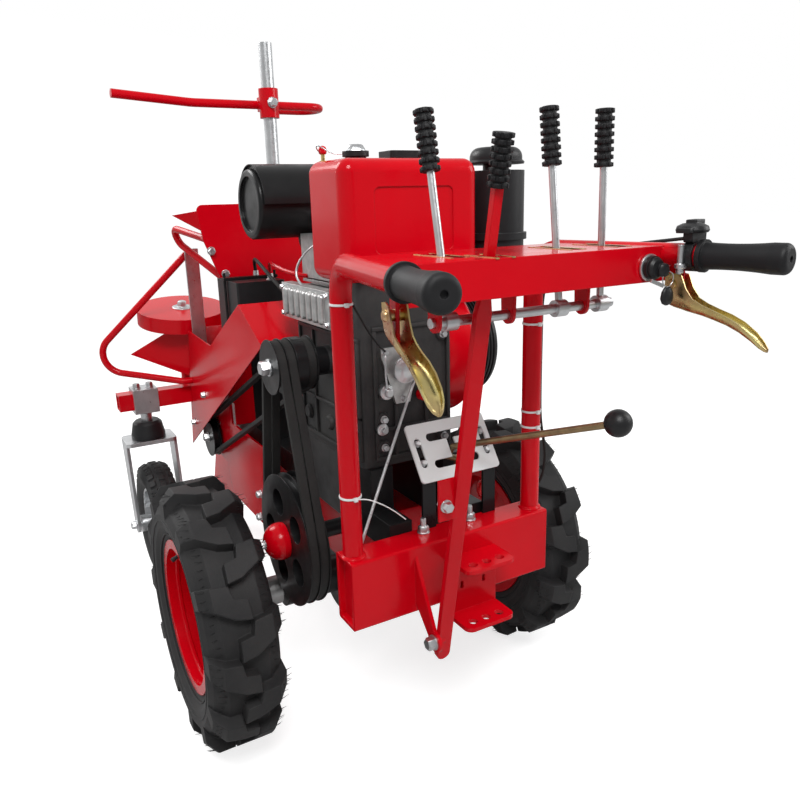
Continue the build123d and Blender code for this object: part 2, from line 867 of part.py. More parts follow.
save(clutch_lever.part, "clutch_lever")


def ringed_grip(foot, way, length):
    """A rubber lever grip with rings round a thinner core."""
    with BuildPart() as grip:
        add(rod(foot, foot + way * length, lever_grip_core))
        pitch = (length - lever_grip_ring) / (lever_grip_rings - 1)
        for ring in range(lever_grip_rings):
            start = foot + way * (ring * pitch)
            add(rod(start, start + way * lever_grip_ring, lever_grip_radius))
    return grip.part


# Black grips: two on the handles, three on the levers and one on the clutch lever
with BuildPart() as grips:
    with BuildSketch(handle_plane):
        with BuildLine():
            start = handle_reach - grip_length
            neck = (start + grip_collar, grip_neck_radius)
            waist = (handle_reach - grip_length / 2, grip_waist_radius)
            flare = (handle_reach - grip_flare, grip_radius)
            Polyline((handle_reach - grip_end_round, grip_radius), flare)
            ThreePointArc(flare, waist, neck)
            Polyline(neck, (start + grip_collar, grip_collar_radius), (start, grip_collar_radius), (start, 0),
                     (handle_reach - grip_end_hole, 0), (handle_reach - grip_end_hole, grip_end_hole),
                     (handle_reach, grip_end_hole), (handle_reach, grip_radius - grip_end_round))
            RadiusArc((handle_reach, grip_radius - grip_end_round),
                      (handle_reach - grip_end_round, grip_radius), -grip_end_round)
        make_face()
    revolve(axis=Axis(handle_corner, handle_direction))
    add(handle_left, mode=Mode.SUBTRACT)
    mirror(about=Plane.XZ)
    for y, lean, length in LEVERS:
        way = Vector(sin(radians(lean)), 0, cos(radians(lean)))
        top = at(shaft_x, y, shaft_z) + way * length
        add(ringed_grip(top - way * lever_grip_length, way, lever_grip_length))
    add(control_levers.part, mode=Mode.SUBTRACT)
    clutch_grip_foot = clutch_end - clutch_way * (clutch_grip_length - clutch_grip_end)
    add(ringed_grip(clutch_grip_foot, clutch_way, clutch_grip_length))
    add(clutch_lever.part, mode=Mode.SUBTRACT)
save(grips.part, "grips")

# Key switch on the panel's rear face and the throttle clamped to the right handle
right_handle = Plane(origin=at(post_x, -post_half, handle_height), x_dir=(splay_back, -splay_out, 0),
                     z_dir=Vector(splay_back, -splay_out, 0).cross(Vector(0, 0, 1)))
with BuildPart() as switchgear:
    with BuildSketch(front(panel_rear - switch_depth)):
        with Locations((switch_y, switch_z)):
            Circle(switch_radius)
    extrude(amount=switch_depth)
    throttle_start = right_handle.from_local_coords(Vector(throttle_back, 0, 0))
    with BuildSketch(Plane(origin=throttle_start, x_dir=(0, 0, 1), z_dir=right_handle.x_dir)):
        Circle(throttle_band_radius)
        Circle(tube_radius, mode=Mode.SUBTRACT)
        with Locations((throttle_band_radius + throttle_box_rise, 0)):
            RectangleRounded(*throttle_box, throttle_box_round)
        Circle(tube_radius, mode=Mode.SUBTRACT)
    extrude(amount=throttle_band)
save(switchgear.part, "switchgear")

# Gear gate: a slotted plate on two legs, and the gear lever with its ball
gate_plane = Plane(origin=at(*gate_centre), x_dir=(0, -1, 0),
                   z_dir=(-cos(radians(gate_lean)), 0, sin(radians(gate_lean))))
with BuildPart() as shift_gate:
    with BuildSketch(gate_plane.offset(-gate_plate)):
        RectangleRounded(gate_width, gate_height, gate_round)
        with GridLocations(0, 2 * gate_slot_rise, 1, 2):
            SlotOverall(gate_slot_length, gate_slot, mode=Mode.SUBTRACT)
        Rectangle(gate_slot, 2 * gate_slot_rise, mode=Mode.SUBTRACT)
        with GridLocations(2 * gate_bolt_place, 0, 2, 1):
            SlotOverall(*gate_bolt_slot, rotation=90, mode=Mode.SUBTRACT)
    extrude(amount=gate_plate)
    leg_x = (beam_front - gate_leg - gate_leg_inset, beam_front - gate_leg_inset)
    for y in (gate_centre[1] + gate_leg_place, gate_centre[1] - gate_leg_place):
        block(leg_x, (y - gate_leg_width / 2, y + gate_leg_width / 2),
              (beam_top, gate_centre[2] - gate_leg_drop))
    with BuildSketch(gate_plane):
        Rectangle(gate_width + gate_clear, gate_height + gate_clear)
    extrude(amount=gate_clear, mode=Mode.SUBTRACT)
save(shift_gate.part, "shift_gate")

with BuildPart() as shift_lever:
    add(rod(at(*shift_start), at(*shift_end), shift_radius))
    with Locations(at(*shift_start), at(*shift_knee)):
        Sphere(shift_radius)
    add(rod(at(*shift_knee), at(*shift_start), shift_radius))
    add(rod(at(*shift_post, shift_post_top - shift_radius), at(*shift_knee), shift_radius))
    pillar(*shift_post, (rail_top, shift_post_top), shift_post_radius)
save(shift_lever.part, "shift_lever")

with BuildPart() as shift_knob:
    with Locations(at(*shift_end)):
        Sphere(shift_knob_radius)
    add(shift_lever.part, mode=Mode.SUBTRACT)
save(shift_knob.part, "shift_knob")

# Engine: crankcase with a step under the tank, finned cylinder and head
with BuildPart() as engine_crankcase:
    block((crank_rear, crank_front), (crank_right, crank_left), (engine_bottom, crank_top))
    block((crank_rear, crank_step_front), (crank_right, crank_left), (crank_top, crank_step_top))
    fillet(engine_crankcase.edges().filter_by(Axis.Z), crank_round)
    spindle(crankshaft_x, crankshaft_z, (0, crank_left + crank_seal), crank_seal_radius)
save(engine_crankcase.part, "engine_crankcase")

with BuildPart() as engine_cylinder:
    core_x = (cylinder_rear + fin_depth, cylinder_front - fin_depth)
    core_half = cylinder_half - fin_depth
    block(core_x, (-core_half, core_half), (crank_top, fin_top))
    fin_pitch = (fin_top - crank_top) / fin_count
    for step in range(fin_count):
        z = crank_top + (step + 0.5) * fin_pitch
        block((cylinder_rear, cylinder_front), (-cylinder_half, cylinder_half),
              (z - fin_thickness / 2, z + fin_thickness / 2))
    block((cylinder_rear, cylinder_front), (-cylinder_half, cylinder_half), (fin_top, head_top))
    block((cylinder_rear + rocker_inset, cylinder_front - rocker_inset),
          (-cylinder_half + rocker_inset, cylinder_half - rocker_inset), (head_top, rocker_top))
    fillet(engine_cylinder.edges().group_by(Axis.Z)[-1], rocker_round)
save(engine_cylinder.part, "engine_cylinder")

# Engine covers: ribbed side cover on the left, governor bracket on the rear
cover_face = crank_left
with BuildPart() as engine_covers:
    block(cover_x, (cover_face, cover_face + cover_depth), cover_z)
    rib_pitch = (cover_x[1] - cover_x[0]) / (cover_ribs + 1)
    rib_length = cover_z[1] - cover_z[0] - 2 * cover_rib_inset
    with BuildSketch(side(cover_face + cover_depth)):
        with Locations((sum(cover_x) / 2, sum(cover_z) / 2)):
            with GridLocations(rib_pitch, 0, cover_ribs, 1):
                SlotOverall(rib_length, cover_rib, rotation=90)
    extrude(amount=-cover_rib_height)
    fillet(engine_covers.faces().sort_by(Axis.Y)[-cover_ribs:].edges(), cover_rib_round)
    with BuildSketch(front(crank_rear - governor_plate)):
        with BuildLine():
            Polyline(*GOVERNOR, close=True)
        make_face()
    extrude(amount=governor_plate)
    with BuildSketch(front(crank_rear - governor_plate - governor_cap)):
        with Locations(governor_centre):
            Circle(governor_radius)
    extrude(amount=governor_cap)
save(engine_covers.part, "engine_covers")

with BuildPart() as fuel_tank:
    block((tank_rear, tank_rear + tank_depth), (-tank_half, tank_half), (crank_step_top, tank_top))
    fillet(fuel_tank.edges(), tank_round)
    with BuildSketch(front(tank_rear)):
        with Locations((0, (crank_step_top + tank_top) / 2)):
            RectangleRounded(*tank_panel, tank_panel_round)
    extrude(amount=tank_panel_depth, mode=Mode.SUBTRACT)
save(fuel_tank.part, "fuel_tank")

with BuildPart() as tank_caps:
    cap_x = tank_rear + tank_depth / 2
    pillar(cap_x, cap_y, (tank_top, tank_top + cap_neck), cap_neck_radius)
    pillar(cap_x, cap_y, (tank_top + cap_neck, tank_top + cap_height), cap_turn_radius)
    block(filler_x, filler_y, (tank_top, tank_top + cap_height))
    fillet(tank_caps.edges().filter_by(Axis.Z), filler_round)
save(tank_caps.part, "tank_caps")

with BuildPart() as muffler:
    spindle(muffler_x, muffler_z, muffler_ends, muffler_radius)
    fillet(muffler.edges(), muffler_rim)
    spindle(muffler_x, muffler_z, (muffler_ends[1] - muffler_inset, muffler_ends[1]),
            muffler_radius - 2 * muffler_rim, mode=Mode.SUBTRACT)
    add(tube([at(cylinder_front, exhaust_y, exhaust_z), at(muffler_x, exhaust_y, exhaust_z),
              at(muffler_x, exhaust_y, muffler_z - exhaust_sink)], exhaust_bend, exhaust_radius))
save(muffler.part, "muffler")

# Heat shield over the muffler's upper half, standing on two end ribs
shield_radius = muffler_radius + shield_gap + shield_sheet
shield_left = muffler_ends[1] - shield_inset
shield_right = muffler_ends[0] + shield_inset
# Each band of the shield: left face, width, inner radius
SHIELD_BANDS = ((shield_left, shield_left - shield_right, muffler_radius + shield_gap),
                (shield_left - shield_rib, shield_rib, muffler_radius),
                (shield_right + 2 * shield_rib, shield_rib, muffler_radius))
with BuildPart() as muffler_shield:
    for left, width, inner in SHIELD_BANDS:
        with BuildSketch(side(left)):
            with Locations((muffler_x, muffler_z)):
                Circle(shield_radius)
                Circle(inner, mode=Mode.SUBTRACT)
                with Locations((0, -muffler_radius)):
                    Rectangle(4 * muffler_radius, 2 * muffler_radius, mode=Mode.SUBTRACT)
        extrude(amount=width)
    for y in shield_hole_places:
        pillar(muffler_x, y, (muffler_z + muffler_radius, muffler_z + shield_radius), shield_hole_radius,
               mode=Mode.SUBTRACT)
save(muffler_shield.part, "muffler_shield")

# Air filter on a shelf beside the tank, with its rain hat and its intake pipe to the head
with BuildPart() as air_filter:
    pillar(filter_x, filter_y, (filter_bottom, filter_top), filter_radius)
    for z in (filter_bottom, filter_bottom + filter_bowl):
        pillar(filter_x, filter_y, (z, z + filter_lip_height), filter_radius + filter_lip)
    pillar(filter_x, filter_y, (filter_top, filter_hat_bottom), filter_neck_radius)
    pillar(filter_x, filter_y, (filter_hat_bottom, filter_cap_top), filter_hat_radius)
    fillet(air_filter.edges().sort_by(Axis.Z)[-1], filter_hat_round)
    shelf_x = (filter_x - filter_shelf_half, filter_x + filter_shelf_half)
    block(shelf_x, (filter_y - filter_shelf_half, crank_right), (filter_bottom - filter_shelf, filter_bottom))
    block(shelf_x, (crank_right - filter_shelf, crank_right), (filter_bottom - filter_bracket, filter_bottom))
    add(tube([at(filter_x, filter_y, intake_z), at(intake_x, filter_y, intake_z),
              at(intake_x, -cylinder_half, intake_z)], intake_bend, intake_radius))
save(air_filter.part, "air_filter")

# Fan shroud and recoil starter on the right end of the crankshaft
with BuildPart() as fan_shroud:
    spindle(crankshaft_x, crankshaft_z, (shroud_outer, crank_right), shroud_radius)
    fillet(fan_shroud.edges().sort_by(Axis.Y)[0], shroud_round)
save(fan_shroud.part, "fan_shroud")

with BuildPart() as recoil_starter:
    spindle(crankshaft_x, crankshaft_z, (recoil_outer, shroud_outer), recoil_radius)
    fillet(recoil_starter.edges().sort_by(Axis.Y)[0], recoil_round)
    groove_pitch = (shroud_outer - recoil_outer - recoil_round) / recoil_ribs
    for step in range(recoil_ribs):
        y = shroud_outer - (step + 0.5) * groove_pitch
        with BuildSketch(side(y)):
            with Locations((crankshaft_x, crankshaft_z)):
                Circle(recoil_radius + cut_margin)
                Circle(recoil_radius - recoil_groove, mode=Mode.SUBTRACT)
        extrude(amount=recoil_groove, mode=Mode.SUBTRACT)
save(recoil_starter.part, "recoil_starter")

# Belt drives
belt_seat = pulley_lip + belt_depth
drive_belts_y = (drive_belt_y, drive_belt_y + belt_width + belt_gap)
engine_belts = (header_belt_y,) + drive_belts_y
pulley_left = drive_belts_y[1] + belt_width + pulley_lip


def pulley(x, z, radius, belts, right, left):
    """A grooved pulley across the machine, one groove for each belt's sideways place."""
    with BuildPart() as wheel:
        spindle(x, z, (right, left), radius)
        for y in belts:
            with BuildSketch(side(y + belt_width + groove_side)):
                with Locations((x, z)):
                    Circle(radius + cut_margin)
                    Circle(radius - belt_seat, mode=Mode.SUBTRACT)
            extrude(amount=belt_width + 2 * groove_side, mode=Mode.SUBTRACT)
    return wheel.part


def belt(start, start_radius, end, end_radius, y):
    """A belt loop seated in the grooves of two pulleys."""
    with BuildPart() as loop:
        with BuildSketch(side(y + belt_width)):
            for grow, mode in ((belt_depth, Mode.ADD), (0, Mode.SUBTRACT)):
                with BuildSketch(side(y + belt_width), mode=Mode.PRIVATE) as ends:
                    with Locations(start):
                        Circle(start_radius - belt_seat + grow)
                    with Locations(end):
                        Circle(end_radius - belt_seat + grow)
                    make_hull()
                add(ends.sketch_local, mode=mode)
        extrude(amount=belt_width)
    return loop.part


crankshaft = (crankshaft_x, crankshaft_z)
drive_shaft = (drive_pulley_x, drive_pulley_z)
header_shaft = (header_pulley_x, header_pulley_z)
with BuildPart() as pulleys:
    add(pulley(*crankshaft, engine_pulley_radius, engine_belts, header_belt_y - pulley_lip, pulley_left))
    spindle(*crankshaft, (crank_left + crank_seal, header_belt_y), crank_seal_radius)
    add(pulley(*drive_shaft, drive_pulley_radius, drive_belts_y, drive_belt_y - pulley_lip, pulley_left))
    with BuildSketch(side(pulley_left)):
        with Locations(drive_shaft):
            with PolarLocations((drive_pulley_radius - belt_seat + drive_hub_radius) / 2, drive_spokes):
                Circle(drive_window_radius)
    extrude(amount=pulley_left - drive_belt_y + pulley_lip, mode=Mode.SUBTRACT)
    spindle(*drive_shaft, (gearbox_half_width, drive_belt_y), drive_shaft_radius)
    add(pulley(*header_shaft, header_pulley_radius, (header_belt_y,), header_belt_y - pulley_lip,
               header_belt_y + belt_width + pulley_lip))
    spindle(*header_shaft, (case_half + side_sheet, header_belt_y), header_pulley_radius / 2)
save(pulleys.part, "pulleys")

with BuildPart() as belts:
    for y in drive_belts_y:
        add(belt(crankshaft, engine_pulley_radius, drive_shaft, drive_pulley_radius, y))
    add(belt(crankshaft, engine_pulley_radius, header_shaft, header_pulley_radius, header_belt_y))
save(belts.part, "belts")

with BuildPart() as pulley_boss:
    boss_section = Plane(origin=at(drive_pulley_x, pulley_left, drive_pulley_z), x_dir=(0, 1, 0),
                         z_dir=(1, 0, 0))
    with BuildSketch(boss_section):
        with BuildLine():
            bulge = (boss_length * sin(radians(45)), boss_radius * cos(radians(30)))
            Polyline((boss_length, boss_nose_radius), (boss_length, 0), (0, 0), (0, boss_radius))
            ThreePointArc((0, boss_radius), bulge, (boss_length, boss_nose_radius))
        make_face()
    revolve(axis=Axis(at(drive_pulley_x, 0, drive_pulley_z), (0, 1, 0)))
save(pulley_boss.part, "pulley_boss")

# Belt guard on the left, and its plain partner on the right without the rear hood
with BuildPart() as side_guards:
    with BuildSketch(side(guard_outer)):
        with BuildLine():
            Polyline(GUARD_HEEL, GUARD_RIDGE, GUARD_NOTCH, GUARD_NOSE, GUARD_TIP, close=True)
        make_face()
    extrude(amount=guard_sheet)
    with BuildSketch(side(guard_outer)):
        with BuildLine():
            Polyline(GUARD_HEEL, GUARD_RIDGE, (GUARD_RIDGE[0], GUARD_RIDGE[1] - guard_fold),
                     (GUARD_HEEL[0], GUARD_HEEL[1] - guard_fold), close=True)
        make_face()
    extrude(amount=guard_top_width)
    with BuildSketch(side(guard_outer)):
        with BuildLine():
            Polyline(GUARD_RIDGE, GUARD_NOTCH, (GUARD_NOTCH[0], GUARD_NOTCH[1] - guard_fold),
                     (GUARD_RIDGE[0], GUARD_RIDGE[1] - guard_fold), close=True)
        make_face()
    extrude(amount=guard_lip)
    with BuildSketch(side(-guard_outer + guard_sheet)):
        with BuildLine():
            Polyline(GUARD_NOTCH, GUARD_NOSE, GUARD_TIP, GUARD_FOOT, close=True)
        make_face()
    extrude(amount=guard_sheet)
    notch = cross_size / 2 + guard_notch_gap
    block((cross_x - notch, cross_x + notch), (-cross_half, cross_half), (cross_z - notch, cross_z + notch),
          mode=Mode.SUBTRACT)
save(side_guards.part, "side_guards")

# Battery on its tray, held by a bar and two rods
battery_top = battery_bottom + battery_height
with BuildPart() as battery:
    block(battery_x, battery_y, (battery_bottom, battery_top))
    fillet(battery.edges().filter_by(Axis.Z), battery_round)
save(battery.part, "battery")

with BuildPart() as battery_tray:
    tray_x = (battery_x[0] - tray_margin, battery_x[1] + tray_margin)
    tray_y = (battery_y[0] - tray_margin, battery_y[1] + tray_margin)
    block(tray_x, tray_y, (battery_bottom - tray_sheet, battery_bottom))
    for x in (tray_x[0] + tray_leg_inset, tray_x[1] - tray_leg_inset):
        block((x - tray_sheet / 2, x + tray_sheet / 2), rail_span, (rail_top, battery_bottom - tray_sheet))
    middle = sum(battery_x) / 2
    block((middle - hold_down_width / 2, middle + hold_down_width / 2), tray_y,
          (battery_top, battery_top + hold_down))
    rod_z = (battery_bottom - tray_sheet, battery_top + hold_down + hold_down_stub)
    for y in (tray_y[0] + tray_margin / 2, tray_y[1] - tray_margin / 2):
        pillar(middle, y, rod_z, hold_down_rod_radius)
save(battery_tray.part, "battery_tray")

# Backboard with a wing folded forward from each edge, and the pole's clamps
wing_corners = [at(*corner) for corner in BOARD_WING]
wing_edge = wing_corners[0] - wing_corners[1]
wing_reach = wing_corners[2] - wing_corners[1]
wing_face = Plane(origin=wing_corners[1], x_dir=wing_edge, z_dir=wing_edge.cross(wing_reach))
with BuildPart() as board_wing_left:
    with BuildSketch(wing_face):
        with BuildLine():
            Polyline(*[wing_face.to_local_coords(corner) for corner in wing_corners], close=True)
        make_face()
    extrude(amount=board_wing)

with BuildPart() as backboard:
    with BuildSketch(front(board_x)) as board_sketch:
        with BuildLine():
            right_edge = [(-y, z) for y, z in reversed(BOARD_EDGE)]
            Polyline(*BOARD_EDGE, *right_edge, close=True)
        make_face()
        fillet(board_sketch.vertices().group_by(Axis.Y)[-1], board_corner)
    extrude(amount=board_sheet)
    add(board_wing_left.part)
    add(mirrored(board_wing_left.part))
    for z in pole_clamp_places:
        block((board_front, pole_x + pole_clamp_half), (pole_y - pole_clamp_half, pole_y + pole_clamp_half),
              (z, z + pole_clamp_height))
    pillar(pole_x, pole_y, (pole_bottom, pole_top), pole_radius, mode=Mode.SUBTRACT)
save(backboard.part, "backboard")

with BuildPart() as pole:
    pillar(pole_x, pole_y, (pole_bottom, pole_top), pole_radius)
    pillar(pole_x, pole_y, (pole_top - pole_bore, pole_top), pole_radius - pole_wall, mode=Mode.SUBTRACT)
save(pole.part, "pole")

# Push bar: a bent tube in a saddle on the pole's clamp sleeve
bar_x = pole_x + sleeve_radius + bar_radius
bar_tube = tube([at(bar_x - bar_tip_back, bar_left, bar_z + bar_tip_rise), at(bar_x, bar_bend, bar_z),
                 at(bar_x, bar_right, bar_z), at(bar_x + bar_return, bar_right, bar_z),
                 at(bar_x + bar_return, pole_y - bar_return_end, bar_z)],
                [bar_tip_radius, bar_return_radius, bar_return_radius], bar_radius)
with BuildPart() as push_bar:
    pillar(pole_x, pole_y, (sleeve_bottom, sleeve_bottom + sleeve_height), sleeve_radius)
    block((pole_x, bar_x), (pole_y - saddle[0], pole_y + saddle[0]), (bar_z - saddle[1], bar_z + saddle[1]))
    pillar(pole_x, pole_y, (pole_bottom, pole_top), pole_radius, mode=Mode.SUBTRACT)
    add(bar_tube)
save(push_bar.part, "push_bar")

# Header frame: gear case, and side plates with spacers for the guards
with BuildPart() as header_frame:
    block((case_rear, rail_front), (-case_half, case_half), (case_bottom, rail_bottom))
    with BuildSketch(side(case_half + side_sheet)):
        with BuildLine():
            Polyline((side_rear, rail_top), (side_rear + side_rear_slope, case_bottom),
                     (rail_front - side_foot, case_bottom), (rail_front, side_low), (side_front, side_low),
                     (side_front, side_high), (side_crest[1][0], side_high), side_crest[1], side_crest[0],
                     (rail_front - side_step, rail_top), close=True)
        make_face()
        with Locations((cross_x, cross_z)):
            Rectangle(cross_size, cross_size, mode=Mode.SUBTRACT)
    extrude(amount=side_sheet)
    for x, z in SPACERS:
        spindle(x, z, (case_half + side_sheet, guard_outer - guard_sheet), spacer_radius)
    mirror(about=Plane.XZ)
save(header_frame.part, "header_frame")

cross_bottom = cross_z - cross_size / 2
cross_top = cross_z + cross_size / 2
with BuildPart() as dividers:
    with BuildSketch(side(throat_half + divider_width)):
        with BuildLine():
            Polyline((rail_front, cross_bottom), (side_front, cross_bottom),
                     (front_reach, divider_tip_height + divider_tip), (front_reach, divider_tip_height),
                     (rail_front, divider_heel), close=True)
        make_face()
    extrude(amount=divider_width)
    mirror(about=Plane.XZ)
save(dividers.part, "dividers")

# Cross tube with the shelves and posts that carry the gathering discs
disc_normal = Vector(-sin(radians(disc_tilt)), 0, cos(radians(disc_tilt)))
disc_plane = Plane(origin=at(disc_x, disc_y, disc_z), x_dir=(0, 1, 0), z_dir=disc_normal)
with BuildPart() as disc_post:
    pillar(disc_x, disc_y, (cross_top + disc_shelf, disc_z), disc_post_radius)
    split(bisect_by=disc_plane.offset(-disc_sheet), keep=Keep.BOTTOM)

with BuildPart() as cross_tube:
    block((cross_x - cross_size / 2, cross_x + cross_size / 2), (-cross_half, cross_half),
          (cross_bottom, cross_top))
    bore_half = cross_size / 2 - cross_wall
    for bore_y in ((-cross_half, -cross_half + cross_bore), (cross_half - cross_bore, cross_half)):
        block((cross_x - bore_half, cross_x + bore_half), bore_y, (cross_z - bore_half, cross_z + bore_half),
              mode=Mode.SUBTRACT)
    for sign in (1, -1):
        shelf_y = sorted((sign * (case_half + side_sheet), sign * (disc_y + disc_shelf_half)))
        block((cross_x, disc_shelf_front), shelf_y, (cross_top, cross_top + disc_shelf))
        add(mirrored(disc_post.part) if sign < 0 else disc_post.part)
save(cross_tube.part, "cross_tube")

with BuildPart() as disc_cover:
    with BuildSketch(disc_plane):
        Circle(disc_radius)
    extrude(amount=-disc_skirt)
    with BuildSketch(disc_plane.offset(-disc_sheet)):
        Circle(disc_radius - disc_sheet)
    extrude(amount=-disc_skirt, mode=Mode.SUBTRACT)
save(both_sides(disc_cover.part), "disc_covers")

# Guide wings: triangular sheets from the side plates out under the discs
wing_way = Vector(WING_TIP[0] - WING_ROOT[0], WING_TIP[1] - WING_ROOT[1], 0)
wing_plane = Plane(origin=at(WING_ROOT[0], WING_ROOT[1], 0), x_dir=wing_way,
                   z_dir=wing_way.cross(Vector(0, 0, 1)))
with BuildPart() as guide_wing:
    with BuildSketch(wing_plane):
        with BuildLine():
            Polyline((0, WING_ROOT[2]), (wing_way.length, WING_TIP[2]),
                     (wing_way.length * wing_top_share, WING_TOP), (0, WING_TOP), close=True)
        make_face()
    extrude(amount=wing_sheet)
    split(bisect_by=Plane(origin=at(0, case_half + side_sheet, 0), z_dir=(0, 1, 0)), keep=Keep.TOP)
save(both_sides(guide_wing.part), "guide_wings")

# Struts: angle bars on the side plates, and the bent tubes that part the crop
strut_inner = case_half + side_sheet
with BuildPart() as strut:
    block((strut_x, strut_x + strut_flange), (strut_inner, strut_inner + strut_plate), strut_z)
    block((strut_x, strut_x + strut_plate), (strut_inner, strut_inner + strut_width), strut_z)
save(both_sides(strut.part), "struts")

with BuildPart() as guide_tubes:
    fence_x = strut_x + strut_flange - guide_radius
    fence_y = strut_inner + strut_plate
    add(tube([at(fence_x, fence_y, fence_top_z), at(fence_x, fence_y + guide_stand, fence_top_z),
              at(*FENCE_CORNER), at(FENCE_FOOT[0], guard_outer + guide_stand, FENCE_FOOT[1]),
              at(FENCE_FOOT[0], guard_outer, FENCE_FOOT[1])], fence_bends, guide_radius))
    stand_x = board_front + hairpin_stand
    add(tube([at(board_front, *HAIRPIN_HIGH), at(stand_x, *HAIRPIN_HIGH), at(*HAIRPIN_TIP),
              at(stand_x, *HAIRPIN_LOW), at(board_front, *HAIRPIN_LOW)], hairpin_bends, guide_radius))
    mirror(about=Plane.XZ)
save(guide_tubes.part, "guide_tubes")

# Casters: clamps on the cross tube with their swivel stems, caps, forks and wheels
clamp_half = cross_size / 2 + clamp_wall
with BuildPart() as caster_clamp:
    clamp_y = (caster_y - clamp_half_length, caster_y + clamp_half_length)
    block((cross_x - clamp_half, cross_x + clamp_half), clamp_y, (cross_z - clamp_half, cross_z + clamp_half))
    block((cross_x - cross_size / 2, cross_x + cross_size / 2), (0, cross_half),
          (cross_bottom, cross_top), mode=Mode.SUBTRACT)
    pillar(cross_x, caster_y, (stem_bottom, cross_z - clamp_half), stem_radius)
save(both_sides(caster_clamp.part), "caster_clamps")

with BuildPart() as caster_cap:
    cap_top = caster_cap_bottom + caster_cap_height
    with BuildSketch(Plane(origin=at(cross_x, caster_y, 0), x_dir=(1, 0, 0), z_dir=(0, -1, 0))):
        with BuildLine():
            Polyline((stem_radius, caster_cap_bottom), (cap_radius, caster_cap_bottom),
                     (cap_radius, caster_cap_bottom + cap_lip), (cap_top_radius, cap_top - cap_round),
                     (cap_top_radius - cap_round, cap_top), (stem_radius, cap_top), close=True)
        make_face()
    revolve(axis=Axis(at(cross_x, caster_y, 0), (0, 0, 1)))
save(both_sides(caster_cap.part), "caster_caps")

caster_axle_x = cross_x - caster_trail
with BuildPart() as caster_fork:
    fork_y = (caster_y - fork_half, caster_y + fork_half)
    crown_x = (cross_x - crown_half_length, cross_x + crown_half_length)
    block(crown_x, fork_y, (crown_top - crown_plate, crown_top))
    fillet(caster_fork.edges().filter_by(Axis.Z), fork_corner)
    pillar(cross_x, caster_y, (crown_top - crown_plate, crown_top), stem_radius + axle_bore_gap,
           mode=Mode.SUBTRACT)
    for y in (fork_y[1], fork_y[0] + fork_plate):
        with BuildSketch(side(y)):
            with Locations((caster_axle_x, caster_radius)):
                Circle(fork_boss_radius)
            with Locations((cross_x, crown_top - crown_plate / 2)):
                Rectangle(2 * crown_half_length - fork_neck, crown_plate)
            make_hull()
        extrude(amount=fork_plate)
    spindle(caster_axle_x, caster_radius, fork_y, caster_axle_radius)
save_pair(caster_fork.part, "caster_fork")

caster_section = Plane(origin=at(caster_axle_x, caster_y, caster_radius), x_dir=(0, 1, 0), z_dir=(1, 0, 0))
caster_axis = Axis(at(caster_axle_x, 0, caster_radius), (0, 1, 0))
caster_bore = caster_axle_radius + axle_bore_gap
with BuildPart() as caster_rim:
    with BuildSketch(caster_section):
        with Locations((0, (caster_rim_radius + caster_bore) / 2)):
            Rectangle(caster_web, caster_rim_radius - caster_bore)
        with Locations((0, (caster_hub_radius + caster_bore) / 2)):
            Rectangle(2 * caster_hub_half, caster_hub_radius - caster_bore)
        with Locations((0, caster_rim_radius - caster_band / 2)):
            Rectangle(2 * caster_bead, caster_band)
    revolve(axis=caster_axis)
save_pair(caster_rim.part, "caster_rim")

with BuildPart() as caster_tyre:
    with BuildSketch(caster_section):
        with BuildLine():
            bead = (caster_bead, caster_rim_radius)
            belly = (caster_width / 2, (caster_rim_radius + caster_radius) / 2)
            swell = (belly[0] - caster_swell, (bead[1] + belly[1]) / 2)
            edge = (caster_shoulder, caster_radius - caster_crown)
            Polyline((0, caster_rim_radius), bead, swell, belly, edge,
                     (caster_crown_half, caster_radius), (0, caster_radius))
            mirror(about=Plane.YZ)
        make_face()
    revolve(axis=caster_axis)
save_pair(caster_tyre.part, "caster_tyre")
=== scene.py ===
import json
from math import cos, pi, radians, sin, sqrt, tan

import bmesh
import bpy
from mathutils import Matrix, Vector
from mathutils.bvhtree import BVHTree


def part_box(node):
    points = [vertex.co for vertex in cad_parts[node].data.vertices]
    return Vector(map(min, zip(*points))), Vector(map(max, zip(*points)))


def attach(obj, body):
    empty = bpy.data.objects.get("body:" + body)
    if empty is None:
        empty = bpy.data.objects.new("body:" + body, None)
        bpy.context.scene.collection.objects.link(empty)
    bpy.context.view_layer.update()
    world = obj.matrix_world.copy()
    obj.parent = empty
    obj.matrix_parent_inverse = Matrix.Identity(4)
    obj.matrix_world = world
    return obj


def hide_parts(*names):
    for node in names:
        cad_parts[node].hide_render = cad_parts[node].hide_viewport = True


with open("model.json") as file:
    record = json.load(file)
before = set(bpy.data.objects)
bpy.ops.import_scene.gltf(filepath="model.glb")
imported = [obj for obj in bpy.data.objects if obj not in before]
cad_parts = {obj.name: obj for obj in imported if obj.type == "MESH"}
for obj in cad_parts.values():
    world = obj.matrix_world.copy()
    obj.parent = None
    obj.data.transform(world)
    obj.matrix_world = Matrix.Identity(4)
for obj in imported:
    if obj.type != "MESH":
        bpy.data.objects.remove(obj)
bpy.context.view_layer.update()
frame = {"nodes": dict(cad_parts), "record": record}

# The photograph's camera: place in metres, turns in degrees, focal length and centre in pixels
IMAGE_SIZE = 800.0
CAMERA_PLACE = (-1.5912, 0.7272, 1.1396)
CAMERA_YAW = -29.79
CAMERA_PITCH = -15.29
CAMERA_ROLL = -1.51
FOCAL_PIXELS = 737.2
CENTRE_PIXEL = 406.1
SENSOR_WIDTH = 36.0

# Stage: only the camera sees the floor's glow
WHITE = (1.0, 1.0, 1.0, 1.0)
FLOOR_RADIUS = 40.0
FLOOR_SEGMENTS = 96
FLOOR_COLOUR = (0.5, 0.5, 0.5, 1.0)
FLOOR_ROUGHNESS = 0.9
FLOOR_GLOW = 0.73
